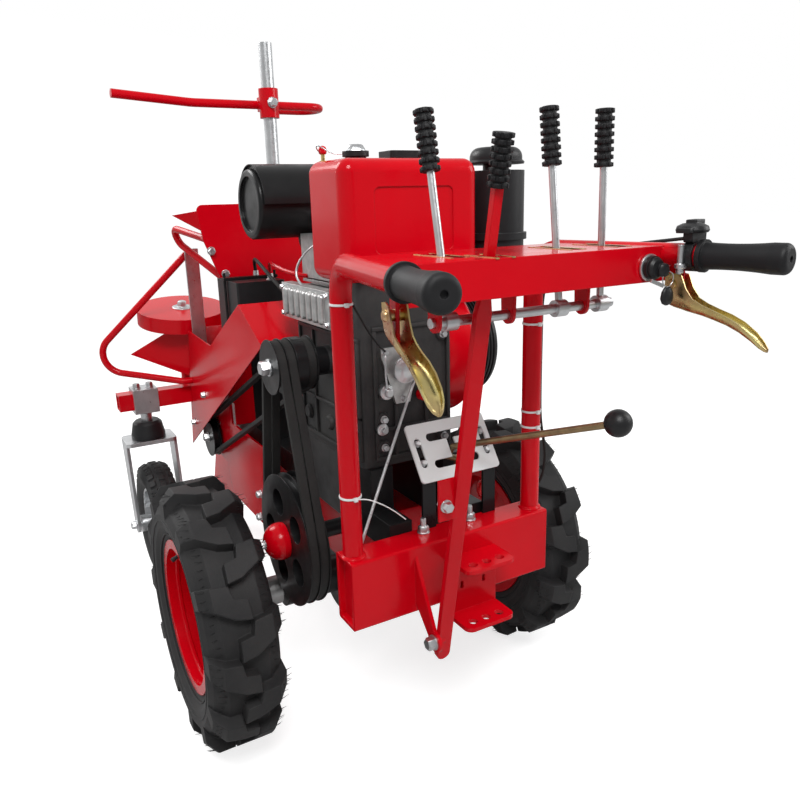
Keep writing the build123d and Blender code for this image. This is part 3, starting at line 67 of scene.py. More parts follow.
# Sky brightness for light: by height, and from behind the operator to ahead of the machine
SKY_STEPS = ((0.0, 0.75), (0.4, 0.6), (1.0, 0.5))
SKY_AHEAD = ((0.0, 0.55), (0.5, 1.0), (1.0, 1.5))
# Soft lights: place, aim, size in metres, power in watts
LIGHTS = {
    "key": ((-2.7, 1.1, 3.8), (0.0, 0.0, 0.6), 1.6, 125.0),
    "fill": ((-1.8, -3.0, 2.4), (0.0, 0.0, 0.6), 2.0, 50.0),
    "back": ((2.8, 1.6, 3.2), (0.0, 0.0, 0.7), 2.0, 80.0),
}

# Directions on the machine, and its two sides
FORWARD = Vector((1, 0, 0))
REAR = Vector((-1, 0, 0))
LEFT = Vector((0, 1, 0))
RIGHT = Vector((0, -1, 0))
UP = Vector((0, 0, 1))
DOWN = Vector((0, 0, -1))
SIDES = ((1, LEFT), (-1, RIGHT))

joint_place = {row["name"]: Vector(row["pos_m"]) for row in frame["record"]["behaviour"]["joints"]}
axle = joint_place["wheel_left_spin"]
MM = 0.001


def at(x, y, z):
    """A place from millimetres measured from the ground below the wheel axle."""
    return Vector((axle.x + x * MM, y * MM, z * MM))


# Node helpers

def new_material(name):
    """A node material and its Principled shader."""
    material = bpy.data.materials.new(name)
    material.use_nodes = True
    shader = material.node_tree.nodes["Principled BSDF"]
    return material, shader


def add_node(material, kind, **settings):
    """A node with its sockets or properties set by name."""
    node = material.node_tree.nodes.new(kind)
    for key, value in settings.items():
        socket = node.inputs.get(key.replace("_", " ").title())
        if socket is not None:
            socket.default_value = value
        else:
            setattr(node, key, value)
    return node


def link(material, start, end):
    """A link between two sockets of a material or of the sky."""
    material.node_tree.links.new(start, end)


def noise(material, scale, detail=3.0, roughness=0.55, stretch=(1.0, 1.0, 1.0)):
    """Noise in object space, so that its grain has a real size."""
    place = add_node(material, "ShaderNodeTexCoord")
    mapping = add_node(material, "ShaderNodeMapping")
    mapping.inputs["Scale"].default_value = stretch
    texture = add_node(material, "ShaderNodeTexNoise", scale=scale, detail=detail, roughness=roughness)
    link(material, place.outputs["Object"], mapping.inputs["Vector"])
    link(material, mapping.outputs["Vector"], texture.inputs["Vector"])
    return texture.outputs["Fac"]


def ramp(material, value, *stops):
    """Colours or greys along a value: each stop is a place and a colour."""
    node = add_node(material, "ShaderNodeValToRGB")
    elements = node.color_ramp.elements
    while len(elements) < len(stops):
        elements.new(0.5)
    for element, (place, colour) in zip(elements, stops):
        element.position = place
        element.color = colour if len(colour) == 4 else (*colour, 1.0)
    link(material, value, node.inputs["Fac"])
    return node.outputs["Color"]


def grey(value):
    """A grey as a colour."""
    return (value, value, value, 1.0)


# Finishes: noise scales are waves in a metre, depths and edge radii are in metres
BEVEL_SAMPLES = 6
PAINT_TONE = 4.0
PAINT_HAZE = 22.0
PAINT_PEEL = 420.0
PEEL_STRENGTH = 0.05
PEEL_DEPTH = 0.0003
PAINT_SPECULAR = 0.15
COAT_ROUGHNESS = 0.1
DUST = 9.0
MOULD_STRENGTH = 0.3
MOULD_SPECULAR = 0.3
BRUSH_FINENESS = 9.0
BRUSH_DEPTH = 0.0005


def surface_bump(material, shader, height, strength, distance, edge):
    """Bump on the shader's normal, over edges rounded by a bevel where one is given."""
    bump = add_node(material, "ShaderNodeBump", strength=strength, distance=distance)
    link(material, height, bump.inputs["Height"])
    if edge:
        bevel = add_node(material, "ShaderNodeBevel", samples=BEVEL_SAMPLES)
        bevel.inputs["Radius"].default_value = edge
        link(material, bevel.outputs["Normal"], bump.inputs["Normal"])
    link(material, bump.outputs["Normal"], shader.inputs["Normal"])


def painted(name, colour, shade, roughness, coat, edge=0.0025):
    """Sprayed enamel: slight tone changes, orange peel and a clear top coat."""
    material, shader = new_material(name)
    tone = noise(material, PAINT_TONE, detail=5.0)
    link(material, ramp(material, tone, (0.3, shade), (0.7, colour)), shader.inputs["Base Color"])
    haze = noise(material, PAINT_HAZE, detail=5.0)
    gloss = ramp(material, haze, (0.35, grey(roughness * 0.8)), (0.75, grey(roughness * 1.35)))
    link(material, gloss, shader.inputs["Roughness"])
    shader.inputs["Specular IOR Level"].default_value = PAINT_SPECULAR
    shader.inputs["Coat Weight"].default_value = coat
    shader.inputs["Coat Roughness"].default_value = COAT_ROUGHNESS
    peel = noise(material, PAINT_PEEL, detail=1.0)
    surface_bump(material, shader, peel, PEEL_STRENGTH, PEEL_DEPTH, edge)
    return material


def moulded(name, colour, shade, roughness, grain=700.0, depth=0.0005, edge=0.002):
    """Rubber or plastic with a fine grain and dusty patches."""
    material, shader = new_material(name)
    dust = noise(material, DUST, detail=6.0, roughness=0.65)
    link(material, ramp(material, dust, (0.35, colour), (0.72, shade)), shader.inputs["Base Color"])
    gloss = ramp(material, dust, (0.3, grey(roughness)), (0.8, grey(min(1.0, roughness * 1.3))))
    link(material, gloss, shader.inputs["Roughness"])
    shader.inputs["Specular IOR Level"].default_value = MOULD_SPECULAR
    surface_bump(material, shader, noise(material, grain, detail=2.0), MOULD_STRENGTH, depth, edge)
    return material


def metal(name, stops, roughness, scale, stretch=(1.0, 1.0, 1.0), strength=0.12, edge=0.0015, grain=1.0):
    """Bare or plated metal: tone along the stops, mottled by its grain, and a finer brushed gloss."""
    material, shader = new_material(name)
    shader.inputs["Metallic"].default_value = 1.0
    tone = noise(material, scale, detail=5.0 * grain, roughness=0.6)
    link(material, ramp(material, tone, *stops), shader.inputs["Base Color"])
    brush = noise(material, scale * BRUSH_FINENESS, detail=4.0 * grain, stretch=stretch)
    gloss = ramp(material, brush, (0.3, grey(roughness * 0.8)), (0.75, grey(min(1.0, roughness * 1.3))))
    link(material, gloss, shader.inputs["Roughness"])
    surface_bump(material, shader, brush, strength, BRUSH_DEPTH, edge)
    return material


# Tones of the metals, and the record's finishes by slot
ZINC = ((0.32, (0.5, 0.51, 0.52)), (0.66, (0.66, 0.67, 0.68)))
YELLOW_ZINC = ((0.34, (0.5, 0.32, 0.17)), (0.5, (0.66, 0.57, 0.23)), (0.66, (0.6, 0.4, 0.22)))
ALLOY = ((0.32, (0.42, 0.42, 0.42)), (0.66, (0.58, 0.58, 0.57)))
AXLE_STEEL = ((0.32, (0.2, 0.2, 0.2)), (0.66, (0.34, 0.34, 0.34)))
BAR_STEEL = ((0.32, (0.2, 0.15, 0.09)), (0.66, (0.36, 0.27, 0.14)))
ALONG_BAR = (1.0, 12.0, 12.0)
WHITE_ENAMEL = ((0.8, 0.82, 0.82), (0.72, 0.74, 0.74), 0.3, 0.2)
MATERIALS = {
    "red_paint": painted("red_paint", (0.56, 0.0008, 0.007), (0.49, 0.0006, 0.006), 0.2, 0.1),
    "black_paint": painted("black_paint", (0.007, 0.007, 0.008), (0.012, 0.012, 0.012), 0.36, 0.1),
    "white_paint": painted("white_paint", *WHITE_ENAMEL),
    "black_plastic": moulded("black_plastic", (0.008, 0.008, 0.009), (0.014, 0.014, 0.015), 0.36),
    "grip_rubber": moulded("grip_rubber", (0.005, 0.005, 0.006), (0.009, 0.009, 0.01), 0.5),
    "tyre_rubber": moulded("tyre_rubber", (0.011, 0.011, 0.012), (0.026, 0.025, 0.025), 0.55,
                           grain=260.0, depth=0.001, edge=0.004),
    "belt_rubber": moulded("belt_rubber", (0.009, 0.009, 0.009), (0.018, 0.017, 0.016), 0.6),
    "cast_dark": moulded("cast_dark", (0.022, 0.022, 0.023), (0.045, 0.044, 0.042), 0.5,
                         grain=220.0, depth=0.0012, edge=0.003),
    "cast_alloy": metal("cast_alloy", ALLOY, 0.46, 60.0, strength=0.3),
    "zinc_steel": metal("zinc_steel", ZINC, 0.34, 20.0),
    "gold_zinc": metal("gold_zinc", YELLOW_ZINC, 0.3, 11.0, strength=0.01, edge=0.0, grain=0.0),
    "dark_steel": metal("dark_steel", BAR_STEEL, 0.36, 40.0, stretch=ALONG_BAR),
}

# The gear gate: white on its leaning plate, black on the legs from these depths behind the plate's middle
GATE_CENTRE = at(-300, -46, 659)
GATE_LEAN = radians(35.0)
GATE_NORMAL = Vector((-cos(GATE_LEAN), 0.0, sin(GATE_LEAN)))
GATE_UP = Vector((sin(GATE_LEAN), 0.0, cos(GATE_LEAN)))
GATE_BLACK_DEPTH = 7
GATE_WHITE_DEPTH = 5
GATE_SHADES = ((0.0, (0.008, 0.008, 0.009)), (1.0, (0.78, 0.8, 0.8)))


def gate_finish():
    """White enamel whose colour turns black behind the gate's plate."""
    material = painted("gate_paint", *WHITE_ENAMEL)
    shader = material.node_tree.nodes["Principled BSDF"]
    place = add_node(material, "ShaderNodeTexCoord")
    ahead = add_node(material, "ShaderNodeVectorMath", operation="DOT_PRODUCT")
    ahead.inputs[1].default_value = GATE_NORMAL
    link(material, place.outputs["Object"], ahead.inputs[0])
    face = GATE_CENTRE.dot(GATE_NORMAL)
    span = add_node(material, "ShaderNodeMapRange")
    span.inputs["From Min"].default_value = face - GATE_BLACK_DEPTH * MM
    span.inputs["From Max"].default_value = face - GATE_WHITE_DEPTH * MM
    link(material, ahead.outputs["Value"], span.inputs["Value"])
    link(material, ramp(material, span.outputs["Result"], *GATE_SHADES), shader.inputs["Base Color"])
    return material


for row in frame["record"]["subparts"]:
    node = frame["nodes"][row["node"]]
    node.data.materials.clear()
    node.data.materials.append(MATERIALS[row["material_slot"]])
frame["nodes"]["shift_gate"].data.materials[0] = gate_finish()
axle_steel = metal("axle_steel", AXLE_STEEL, 0.4, 30.0)
for name in ("axle_left", "axle_right"):
    frame["nodes"][name].data.materials[0] = axle_steel


# Mesh helpers: bolt proportions are shares of the width across flats and of the corner radius
WASHER_HEIGHT = 0.1
WASHER_RADIUS = 1.15
HEAD_SIDE = 0.62
HEAD_TOP = 0.75
HEAD_CHAMFER = 0.82
THREAD_FOOT = 0.5
THREAD_RADIUS = 0.3
THREAD_TIP = 0.8
# Edges that turn more than this many degrees are rounded
ROUNDED_TURN = 50.0


def facing(place, direction):
    """A frame at a place whose Z points along a direction."""
    return Matrix.Translation(place) @ direction.to_track_quat("Z", "Y").to_matrix().to_4x4()


def turned(mesh, place, profile, segments=24, ring=False):
    """A turned form about the Z of its frame; its profile lists places along it and radii, in millimetres."""
    loops = []
    for along, radius in profile:
        loop = []
        for step in range(segments):
            angle = 2 * pi * step / segments
            point = Vector((radius * cos(angle), radius * sin(angle), along)) * MM
            loop.append(mesh.verts.new(place @ point))
        loops.append(loop)
    pairs = list(zip(loops, loops[1:]))
    if ring:
        pairs.append((loops[-1], loops[0]))
    for low, high in pairs:
        for step in range(segments):
            turn = (step + 1) % segments
            mesh.faces.new((low[step], low[turn], high[turn], high[step]))
    if not ring:
        mesh.faces.new(loops[0])
        mesh.faces.new(loops[-1])


def prism(mesh, place, low, high):
    """A box between two corners of a frame, in millimetres."""
    corners = []
    for x in (low[0], high[0]):
        for y in (low[1], high[1]):
            for z in (low[2], high[2]):
                corners.append(mesh.verts.new(place @ (Vector((x, y, z)) * MM)))
    for side in ((0, 1, 3, 2), (4, 6, 7, 5), (0, 4, 5, 1), (2, 3, 7, 6), (0, 2, 6, 4), (1, 5, 7, 3)):
        mesh.faces.new([corners[corner] for corner in side])


def hex_bolt(mesh, place, across):
    """A washer and a chamfered hexagon head."""
    corner = across / sqrt(3)
    washer_top = WASHER_HEIGHT * across
    washer = WASHER_RADIUS * corner
    turned(mesh, place, ((0.0, washer), (washer_top, washer)), 20)
    head = ((washer_top, corner), (HEAD_SIDE * across, corner), (HEAD_TOP * across, HEAD_CHAMFER * corner))
    turned(mesh, place, head, 6)


def bolt(mesh, place, direction, across):
    """A bolt head at a place on the machine, in millimetres."""
    hex_bolt(mesh, facing(at(*place), direction), across)


def stud(mesh, place, across, length):
    """A hexagon nut with the end of its threaded rod."""
    hex_bolt(mesh, place, across)
    thread = THREAD_RADIUS * across
    rod = ((THREAD_FOOT * across, thread), (length - 2, thread), (length, THREAD_TIP * thread))
    turned(mesh, place, rod, 16)


def show(name, data, slot, body):
    """A piece that rides on a body, in one of the record's finishes."""
    piece = bpy.data.objects.new(name, data)
    bpy.context.scene.collection.objects.link(piece)
    data.materials.append(MATERIALS[slot])
    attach(piece, body)
    return piece


def add_piece(name, mesh, slot, body="root", smooth=35.0, rounding=0.0):
    """A finished mesh as a piece, with its edges rounded where millimetres are given."""
    bmesh.ops.recalc_face_normals(mesh, faces=mesh.faces)
    if rounding:
        edges = [edge for edge in mesh.edges if edge.calc_face_angle(0.0) > radians(ROUNDED_TURN)]
        bmesh.ops.bevel(mesh, geom=edges, offset=rounding * MM, segments=2, profile=0.5, affect="EDGES")
    data = bpy.data.meshes.new(name)
    mesh.to_mesh(data)
    mesh.free()
    data.shade_smooth()
    data.set_sharp_from_angle(angle=radians(smooth))
    return show(name, data, slot, body)


def add_wire(name, points, diameter, slot):
    """A wire or thin rod along a smooth line through listed places."""
    curve = bpy.data.curves.new(name, "CURVE")
    curve.dimensions = "3D"
    curve.bevel_depth = diameter / 2 * MM
    curve.bevel_resolution = 4
    curve.use_fill_caps = True
    spline = curve.splines.new("NURBS")
    spline.points.add(len(points) - 1)
    for target, point in zip(spline.points, points):
        target.co = (*at(*point), 1.0)
    spline.order_u = 3
    spline.use_endpoint_u = True
    spline.resolution_u = 12
    return show(name, curve, slot, "root")


def surface_of(node):
    """A node's surface, for finding the place and slope that a small piece sits on."""
    mesh = frame["nodes"][node].data
    points = [vertex.co.copy() for vertex in mesh.vertices]
    return BVHTree.FromPolygons(points, [tuple(face.vertices) for face in mesh.polygons])


# Faces that fasteners sit on, in millimetres
PLATE_SIDE = 156.0
COVER_SIDE = 141.0
GOVERNOR_FACE = -238.0
guard_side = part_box("side_guards")[1][1] / MM
beam_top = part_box("rear_beam")[1][2] / MM
board_rear = (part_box("backboard")[0][0] - axle.x) / MM
clamp_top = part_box("caster_clamps")[1][2] / MM
pulley_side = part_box("pulleys")[1][1] / MM
boss_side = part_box("pulley_boss")[1][1] / MM

# Fasteners in rows: two places on their face, and width across flats
PLATE_BOLTS = ((325, 387), (338, 317))
PLATE_FLATS = 17
SPACER_BOLTS = ((640, 600), (790, 480))
SPACER_FLATS = 15
COVER_BOLTS = ((-141, 902), (-141, 959), (91, 902), (91, 959))
GOVERNOR_BOLTS = ((68, 854), (0, 854), (30, 757))
COVER_FLATS = 10
BOARD_BOLTS = ((176, 1018), (143, 956))
BOARD_FLATS = 17
CLAMP_X = 830
CLAMP_BOLTS = (318, 356)
CLAMP_FLATS = 19
BEAM_STUD_X = -332
BEAM_STUDS = (46, -64)
BEAM_STUD_FLATS = 19
BEAM_STUD_LENGTH = 30
# Single bolts on the clutch bar, the push bar, the engine pulley, the pulley boss and the header, then
# those on the rocker cover and under the gearbox: place, direction, width across flats
SINGLE_BOLTS = (
    ((-443.8, 95, 343), LEFT, 22), ((519, -25, 1394), REAR, 21), ((-80, pulley_side, 820), LEFT, 27),
    ((-97, boss_side, 450), LEFT, 15), ((700, 185, 452), LEFT, 22),
    ((-20, 0, 1100), UP, 13), ((68, 0, 1100), UP, 13),
    ((-107, -62, 314), DOWN, 13), ((-107, 62, 314), DOWN, 13),
    ((107, -62, 314), DOWN, 13), ((107, 62, 314), DOWN, 13),
)

bolts = bmesh.new()
for x, z in PLATE_BOLTS:
    for sign, side in SIDES:
        bolt(bolts, (x, sign * PLATE_SIDE, z), side, PLATE_FLATS)
for x, z in SPACER_BOLTS:
    for sign, side in SIDES:
        bolt(bolts, (x, sign * guard_side, z), side, SPACER_FLATS)
for x, z in COVER_BOLTS:
    bolt(bolts, (x, COVER_SIDE, z), LEFT, COVER_FLATS)
for y, z in GOVERNOR_BOLTS:
    bolt(bolts, (GOVERNOR_FACE, y, z), REAR, COVER_FLATS)
for y, z in BOARD_BOLTS:
    for sign in (1, -1):
        bolt(bolts, (board_rear, sign * y, z), REAR, BOARD_FLATS)
for sign in (1, -1):
    for y in CLAMP_BOLTS:
        bolt(bolts, (CLAMP_X, sign * y, clamp_top), UP, CLAMP_FLATS)
for y in BEAM_STUDS:
    stud(bolts, facing(at(BEAM_STUD_X, y, beam_top), UP), BEAM_STUD_FLATS, BEAM_STUD_LENGTH)
for place, direction, across in SINGLE_BOLTS:
    bolt(bolts, place, direction, across)
add_piece("machine_bolts", bolts, "zinc_steel")

# Drive wheels: nuts, sidewall rings, moulding hairs, a valve and the rim's beads
WHEEL_NUTS = 5
NUT_CIRCLE = 46.0
NUT_FLATS = 17
HUB_FACE = 355.0
AXLE_NOSE = 371.0
AXLE_NUT_FLATS = 30
WHEEL_RADIUS = axle.z / MM
TRACK = axle.y / MM
TYRE_HALF = 74.0
WHEEL_SEGMENTS = 96
SIDE_RINGS = (((60, 178), (63.2, 179), (64.3, 182), (62, 183)),
              ((70.5, 209.5), (73.2, 210.2), (73.6, 213.4), (71.5, 214.4)))
# Beads rolled into the rim's barrel, and the weld between barrel and disc
RIM_RINGS = (((28, 148), (31, 144), (37, 144), (40, 148)), ((-22, 148), (-20, 141), (-12, 148), (-16, 149)))
VALVE_UP = 150
VALVE_OUT = 40
VALVE_LEAN = 0.5
VALVE = ((0, 8), (6, 6), (14, 4), (26, 4), (27, 5), (33, 5), (34, 3))
# Hairs: their circles, how far these and the lengths wander, and the least length and distance to the side
HAIR_STEPS = 108
HAIR_RADII = (255.0, 266.0, 277.0)
HAIR_RADIUS_WANDER = 3
HAIR_LENGTH = 13.0
HAIR_LENGTH_WANDER = 4
HAIR_SHORTEST = 2
HAIR_SIDE_LEAST = 44
HAIR_PHASES = (7.3, 2.1)
HAIR_ROOT = 0.8
HAIR_TIP = 0.3
HAIR_LEAN_UP = 0.25
HAIR_LEAN_IN = 0.1
# Metres from the tyre's middle to a start outside it
HAIR_OUTSIDE = 0.12


def add_hairs(mesh, side, middle, out):
    """Moulding hairs on both shoulders of a tyre, kept short on the outer side."""
    surface = surface_of(f"tyre_{side}")
    for step in range(HAIR_STEPS):
        angle = 2 * pi * step / HAIR_STEPS
        outward = Vector((cos(angle), 0, sin(angle)))
        for row, radius in enumerate(HAIR_RADII):
            wander = sin(HAIR_PHASES[0] * step + HAIR_PHASES[1] * row)
            for face in (LEFT, RIGHT):
                reach = radius + HAIR_RADIUS_WANDER * wander
                start = middle + outward * reach * MM + face * HAIR_OUTSIDE
                hit = surface.ray_cast(start, -face)[0]
                if hit is None:
                    continue
                side_place = abs(hit.y - middle.y) / MM
                if side_place < HAIR_SIDE_LEAST:
                    continue
                room = TYRE_HALF + (HAIR_LENGTH if face.dot(out) < 0 else 0.0) - side_place
                length = min(HAIR_LENGTH + HAIR_LENGTH_WANDER * wander, room)
                if length < HAIR_SHORTEST:
                    continue
                lean = face + UP * HAIR_LEAN_UP * wander - outward * HAIR_LEAN_IN
                turned(mesh, facing(hit - face * MM, lean), ((0, HAIR_ROOT), (length, HAIR_TIP)), 5)


def wheel_trim(side, sign):
    """The small pieces that turn with one drive wheel."""
    out = LEFT * sign
    nuts = bmesh.new()
    for step in range(WHEEL_NUTS):
        angle = 2 * pi * (step + 0.5) / WHEEL_NUTS
        place = (NUT_CIRCLE * cos(angle), sign * HUB_FACE, WHEEL_RADIUS + NUT_CIRCLE * sin(angle))
        bolt(nuts, place, out, NUT_FLATS)
    bolt(nuts, (0, sign * AXLE_NOSE, WHEEL_RADIUS), out, AXLE_NUT_FLATS)
    add_piece(f"wheel_nuts_{side}", nuts, "zinc_steel", f"wheel_{side}")
    middle = at(0, sign * TRACK, WHEEL_RADIUS)
    trim = bmesh.new()
    for face in (LEFT, RIGHT):
        for profile in SIDE_RINGS:
            turned(trim, facing(middle, face), profile, WHEEL_SEGMENTS, ring=True)
    add_hairs(trim, side, middle, out)
    valve = facing(middle + (UP * VALVE_UP + out * VALVE_OUT) * MM, out - UP * VALVE_LEAN)
    turned(trim, valve, VALVE, 16)
    add_piece(f"tyre_trim_{side}", trim, "tyre_rubber", f"wheel_{side}")
    barrel = bmesh.new()
    for profile in RIM_RINGS:
        turned(barrel, facing(middle, out), profile, WHEEL_SEGMENTS, ring=True)
    add_piece(f"rim_beads_{side}", barrel, "red_paint", f"wheel_{side}")


wheel_trim("left", 1)
wheel_trim("right", -1)

# Caster tyres: a carcass with three staggered rows of tread blocks
CASTER_PROFILE = ((-31, 104), (-40, 124), (-44, 144.5), (-37, 169), (-17, 180), (17, 180), (37, 169),
                  (44, 144.5), (40, 124), (31, 104))
CASTER_SEGMENTS = 72
CASTER_BLOCKS = 36
CASTER_X = 785.0
CASTER_Y = 337.0
CASTER_RADIUS = 185.0
CASTER_NUT_SIDE = 75.0
CASTER_NUT_FLATS = 22
BLOCK_LOW = (-10, -9, 0)
BLOCK_HIGH = (10, 9, 10.5)
BLOCK_RADIUS = 173.5
# The outer rows: tip in degrees, distance to the side and drop
ROW_TIP = 27.0
ROW_SIDE = 25.0
ROW_DROP = 5.5


def caster_trim(side, sign):
    """One caster's tyre and the nuts of its axle."""
    middle = at(CASTER_X, sign * CASTER_Y, CASTER_RADIUS)
    tyre = bmesh.new()
    turned(tyre, facing(middle, LEFT), CASTER_PROFILE, CASTER_SEGMENTS, ring=True)
    for step in range(CASTER_BLOCKS):
        for row in (-1, 0, 1):
            angle = 360.0 * (step + 0.5 * (row == 0)) / CASTER_BLOCKS
            spin = Matrix.Rotation(radians(angle), 4, "Y")
            tip = Matrix.Rotation(radians(-ROW_TIP * row), 4, "X")
            rise = Vector((0, ROW_SIDE * row, BLOCK_RADIUS - ROW_DROP * abs(row))) * MM
            block = Matrix.Translation(middle) @ spin @ Matrix.Translation(rise) @ tip
            prism(tyre, block, BLOCK_LOW, BLOCK_HIGH)
    piece = add_piece(f"caster_tread_{side}", tyre, "tyre_rubber", f"caster_wheel_{side}")
    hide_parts(f"caster_tyre_{side}")
    nuts = bmesh.new()
    for face in (1, -1):
        place = (CASTER_X, sign * CASTER_Y + face * CASTER_NUT_SIDE, CASTER_RADIUS)
        bolt(nuts, place, LEFT * face, CASTER_NUT_FLATS)
    add_piece(f"caster_nuts_{side}", nuts, "zinc_steel", f"caster_swivel_{side}")


caster_trim("left", 1)
caster_trim("right", -1)

# Hand levers: distance to the left, lean in degrees, length from the shaft
LEVERS = ((118.0, 11.8, 314.0), (-100.0, 6.7, 318.0), (-191.0, 1.2, 313.0))
SHAFT_X = -540.0
SHAFT_Z = 958.0
LEVER_GRIP = 90
PANEL_TOP = 1055.0
# The clutch lever and its way forward for each millimetre that it goes down
CLUTCH_FOOT = (-438, 74, 313)
CLUTCH_HEAD = (-612, 74, 1212)
CLUTCH_SLOPE = 0.1935
CLUTCH_GRIP = 74
CLUTCH_GRIP_BELOW = 62
# Blocks round each ring of a grip
RINGS = 8
RING_HEIGHT = 7.0
BLOCKS = 8
GRIP_BLOCK_LOW = (11, -3.4, 0.3)
GRIP_BLOCK_HIGH = (15.6, 3.4, 6.7)
# Gold strips beside the panel's slots, a painted highlight standing in for the slots' lit edges: the near
# sides of the two strips, half length and section
LEVER_STRIPS = (11.0, -17.0)
LEVER_STRIP_HALF = 52
CLUTCH_STRIPS = (11.5, -17.5)
CLUTCH_STRIP_HALF = 40
STRIP_WIDTH = 6
STRIP_FOOT = -1
STRIP_RISE = 0.9


def grip_blocks(mesh, foot, way, length):
    """Rings of blocks along a grip, each ring turned by half a block."""
    pitch = (length - RING_HEIGHT) / (RINGS - 1)
    for ring in range(RINGS):
        place = facing(foot + way * ring * pitch * MM, way)
        for block in range(BLOCKS):
            spin = Matrix.Rotation(2 * pi * (block + 0.5 * (ring % 2)) / BLOCKS, 4, "Z")
            prism(mesh, place @ spin, GRIP_BLOCK_LOW, GRIP_BLOCK_HIGH)


def slot_strip(mesh, x, y, half):
    """One strip on the panel's top, beside a slot: a painted highlight on the slot's edge."""
    place = Matrix.Translation(at(x, y, PANEL_TOP))
    prism(mesh, place, (-half, 0, STRIP_FOOT), (half, STRIP_WIDTH, STRIP_RISE))


blocks = bmesh.new()
painted_highlight_strips = bmesh.new()
for y, lean, length in LEVERS:
    way = Vector((sin(radians(lean)), 0, cos(radians(lean))))
    grip_blocks(blocks, at(SHAFT_X, y, SHAFT_Z) + way * (length - LEVER_GRIP) * MM, way, LEVER_GRIP)
    slot_x = SHAFT_X + (PANEL_TOP - SHAFT_Z) * tan(radians(lean))
    for edge in LEVER_STRIPS:
        slot_strip(painted_highlight_strips, slot_x, y + edge, LEVER_STRIP_HALF)
clutch_slot_x = CLUTCH_HEAD[0] + (CLUTCH_HEAD[2] - PANEL_TOP) * CLUTCH_SLOPE
for edge in CLUTCH_STRIPS:
    slot_strip(painted_highlight_strips, clutch_slot_x, CLUTCH_HEAD[1] + edge, CLUTCH_STRIP_HALF)
clutch_head = at(*CLUTCH_HEAD)
clutch_way = (clutch_head - at(*CLUTCH_FOOT)).normalized()
grip_blocks(blocks, clutch_head - clutch_way * CLUTCH_GRIP_BELOW * MM, clutch_way, CLUTCH_GRIP)
add_piece("lever_grip_blocks", blocks, "grip_rubber", rounding=0.8)
# The gold strips paint the highlights along the slots' edges
add_piece("slot_strips", painted_highlight_strips, "gold_zinc")

# Bolts through the gate's slots, and through the clutch bar's tab
GATE_BOLT_SIDE = (-75, 75)
GATE_BOLT_RISE = (-20, 20)
GATE_BOLT_SINK = 3
GATE_FLATS = 10
TAB_BOLTS = (((-504, 104, 640), REAR, 17), ((-500, 104, 640), FORWARD, 17))

gate_bolts = bmesh.new()
for y in GATE_BOLT_SIDE:
    for rise in GATE_BOLT_RISE:
        place = GATE_CENTRE + LEFT * y * MM + GATE_UP * rise * MM - GATE_NORMAL * GATE_BOLT_SINK * MM
        hex_bolt(gate_bolts, facing(place, GATE_NORMAL), GATE_FLATS)
for place, direction, across in TAB_BOLTS:
    bolt(gate_bolts, place, direction, across)
add_piece("gate_bolts", gate_bolts, "zinc_steel")

# Crankcase: ribs from and to, across and up their face, and bosses with bolts
CRANK_REAR = -230.0
CRANK_LEFT = 115.0
RIB_RISE = 5
RIB_ROOT = 1
REAR_RIBS = ((-84, 92, 634, 642), (-84, 92, 896, 904), (84, 92, 642, 896), (-84, -76, 642, 896),
             (-30, -22, 642, 780), (40, 48, 642, 748), (-84, 92, 694, 701))
LEFT_RIBS = ((-222, 72, 634, 642), (-222, 72, 874, 882), (-222, -214, 642, 874), (64, 72, 642, 874),
             (-150, -143, 642, 874), (-8, -1, 642, 874), (-222, 72, 720, 727))
REAR_BOSSES = ((74, 662), (-66, 662), (74, 720), (-66, 876), (-52, 726))
REAR_BOSS = ((0, 15), (7, 12), (8, 11))
REAR_BOSS_RISE = 7
REAR_BOSS_FLATS = 12
LEFT_BOSSES = ((-190, 680), (-70, 680), (40, 680))
LEFT_BOSS = ((0, 18), (8, 14), (9, 13))

castings = bmesh.new()
for y0, y1, z0, z1 in REAR_RIBS:
    prism(castings, Matrix.Translation(at(CRANK_REAR, 0, 0)), (-RIB_RISE, y0, z0), (RIB_ROOT, y1, z1))
for x0, x1, z0, z1 in LEFT_RIBS:
    prism(castings, Matrix.Translation(at(0, CRANK_LEFT, 0)), (x0, -RIB_ROOT, z0), (x1, RIB_RISE, z1))
for y, z in REAR_BOSSES:
    turned(castings, facing(at(CRANK_REAR + RIB_ROOT, y, z), REAR), REAR_BOSS, 20)
for x, z in LEFT_BOSSES:
    turned(castings, facing(at(x, CRANK_LEFT - RIB_ROOT, z), LEFT), LEFT_BOSS, 20)
add_piece("crankcase_ribs", castings, "cast_dark", rounding=1.2)

# Bright fittings on the crankcase: the governor's dome and two plugs, by place and profile
DOME_PLACE = (-251, 30, 818)
DOME = ((0, 27), (4, 27), (6, 22), (10, 17), (12, 9), (12.5, 1))
PLUGS = (((-230, 68, 776), ((0, 17), (14, 15), (16, 9), (24, 9), (26, 7))),
         ((-230, 78, 700), ((0, 13), (9, 12), (11, 6), (20, 6))))

dome = bmesh.new()
turned(dome, facing(at(*DOME_PLACE), REAR), DOME, 32)
for place, profile in PLUGS:
    turned(dome, facing(at(*place), REAR), profile, 20)
for y, z in REAR_BOSSES:
    bolt(dome, (CRANK_REAR - REAR_BOSS_RISE, y, z), REAR, REAR_BOSS_FLATS)
add_piece("governor_dome", dome, "zinc_steel")

# Red trim: a cap on the crankcase, the tank's knob, the weld beads at the posts and the clutch bar's tab
POST_X = -346
POST_Y = 206
CAP_PLACE = (-229, -13, 759)
CAP = ((0, 9), (6, 9), (7, 12), (20, 11), (22, 8))
KNOB_X = -112
KNOB_Y = 120
KNOB_FOOT = 1224
KNOB = ((0, 5), (2, 7.5), (9, 8), (14, 6), (16, 2))
STEM_FOOT = 1209
STEM = ((0, 8), (3, 8), (4, 4), (16, 4))
WELD = ((0, 24), (3, 23), (6, 19.5))
TAB_PLACE = (-502, 86, 645)
TAB_LOW = (-2, -2, -32)
TAB_HIGH = (2, 32, 42)

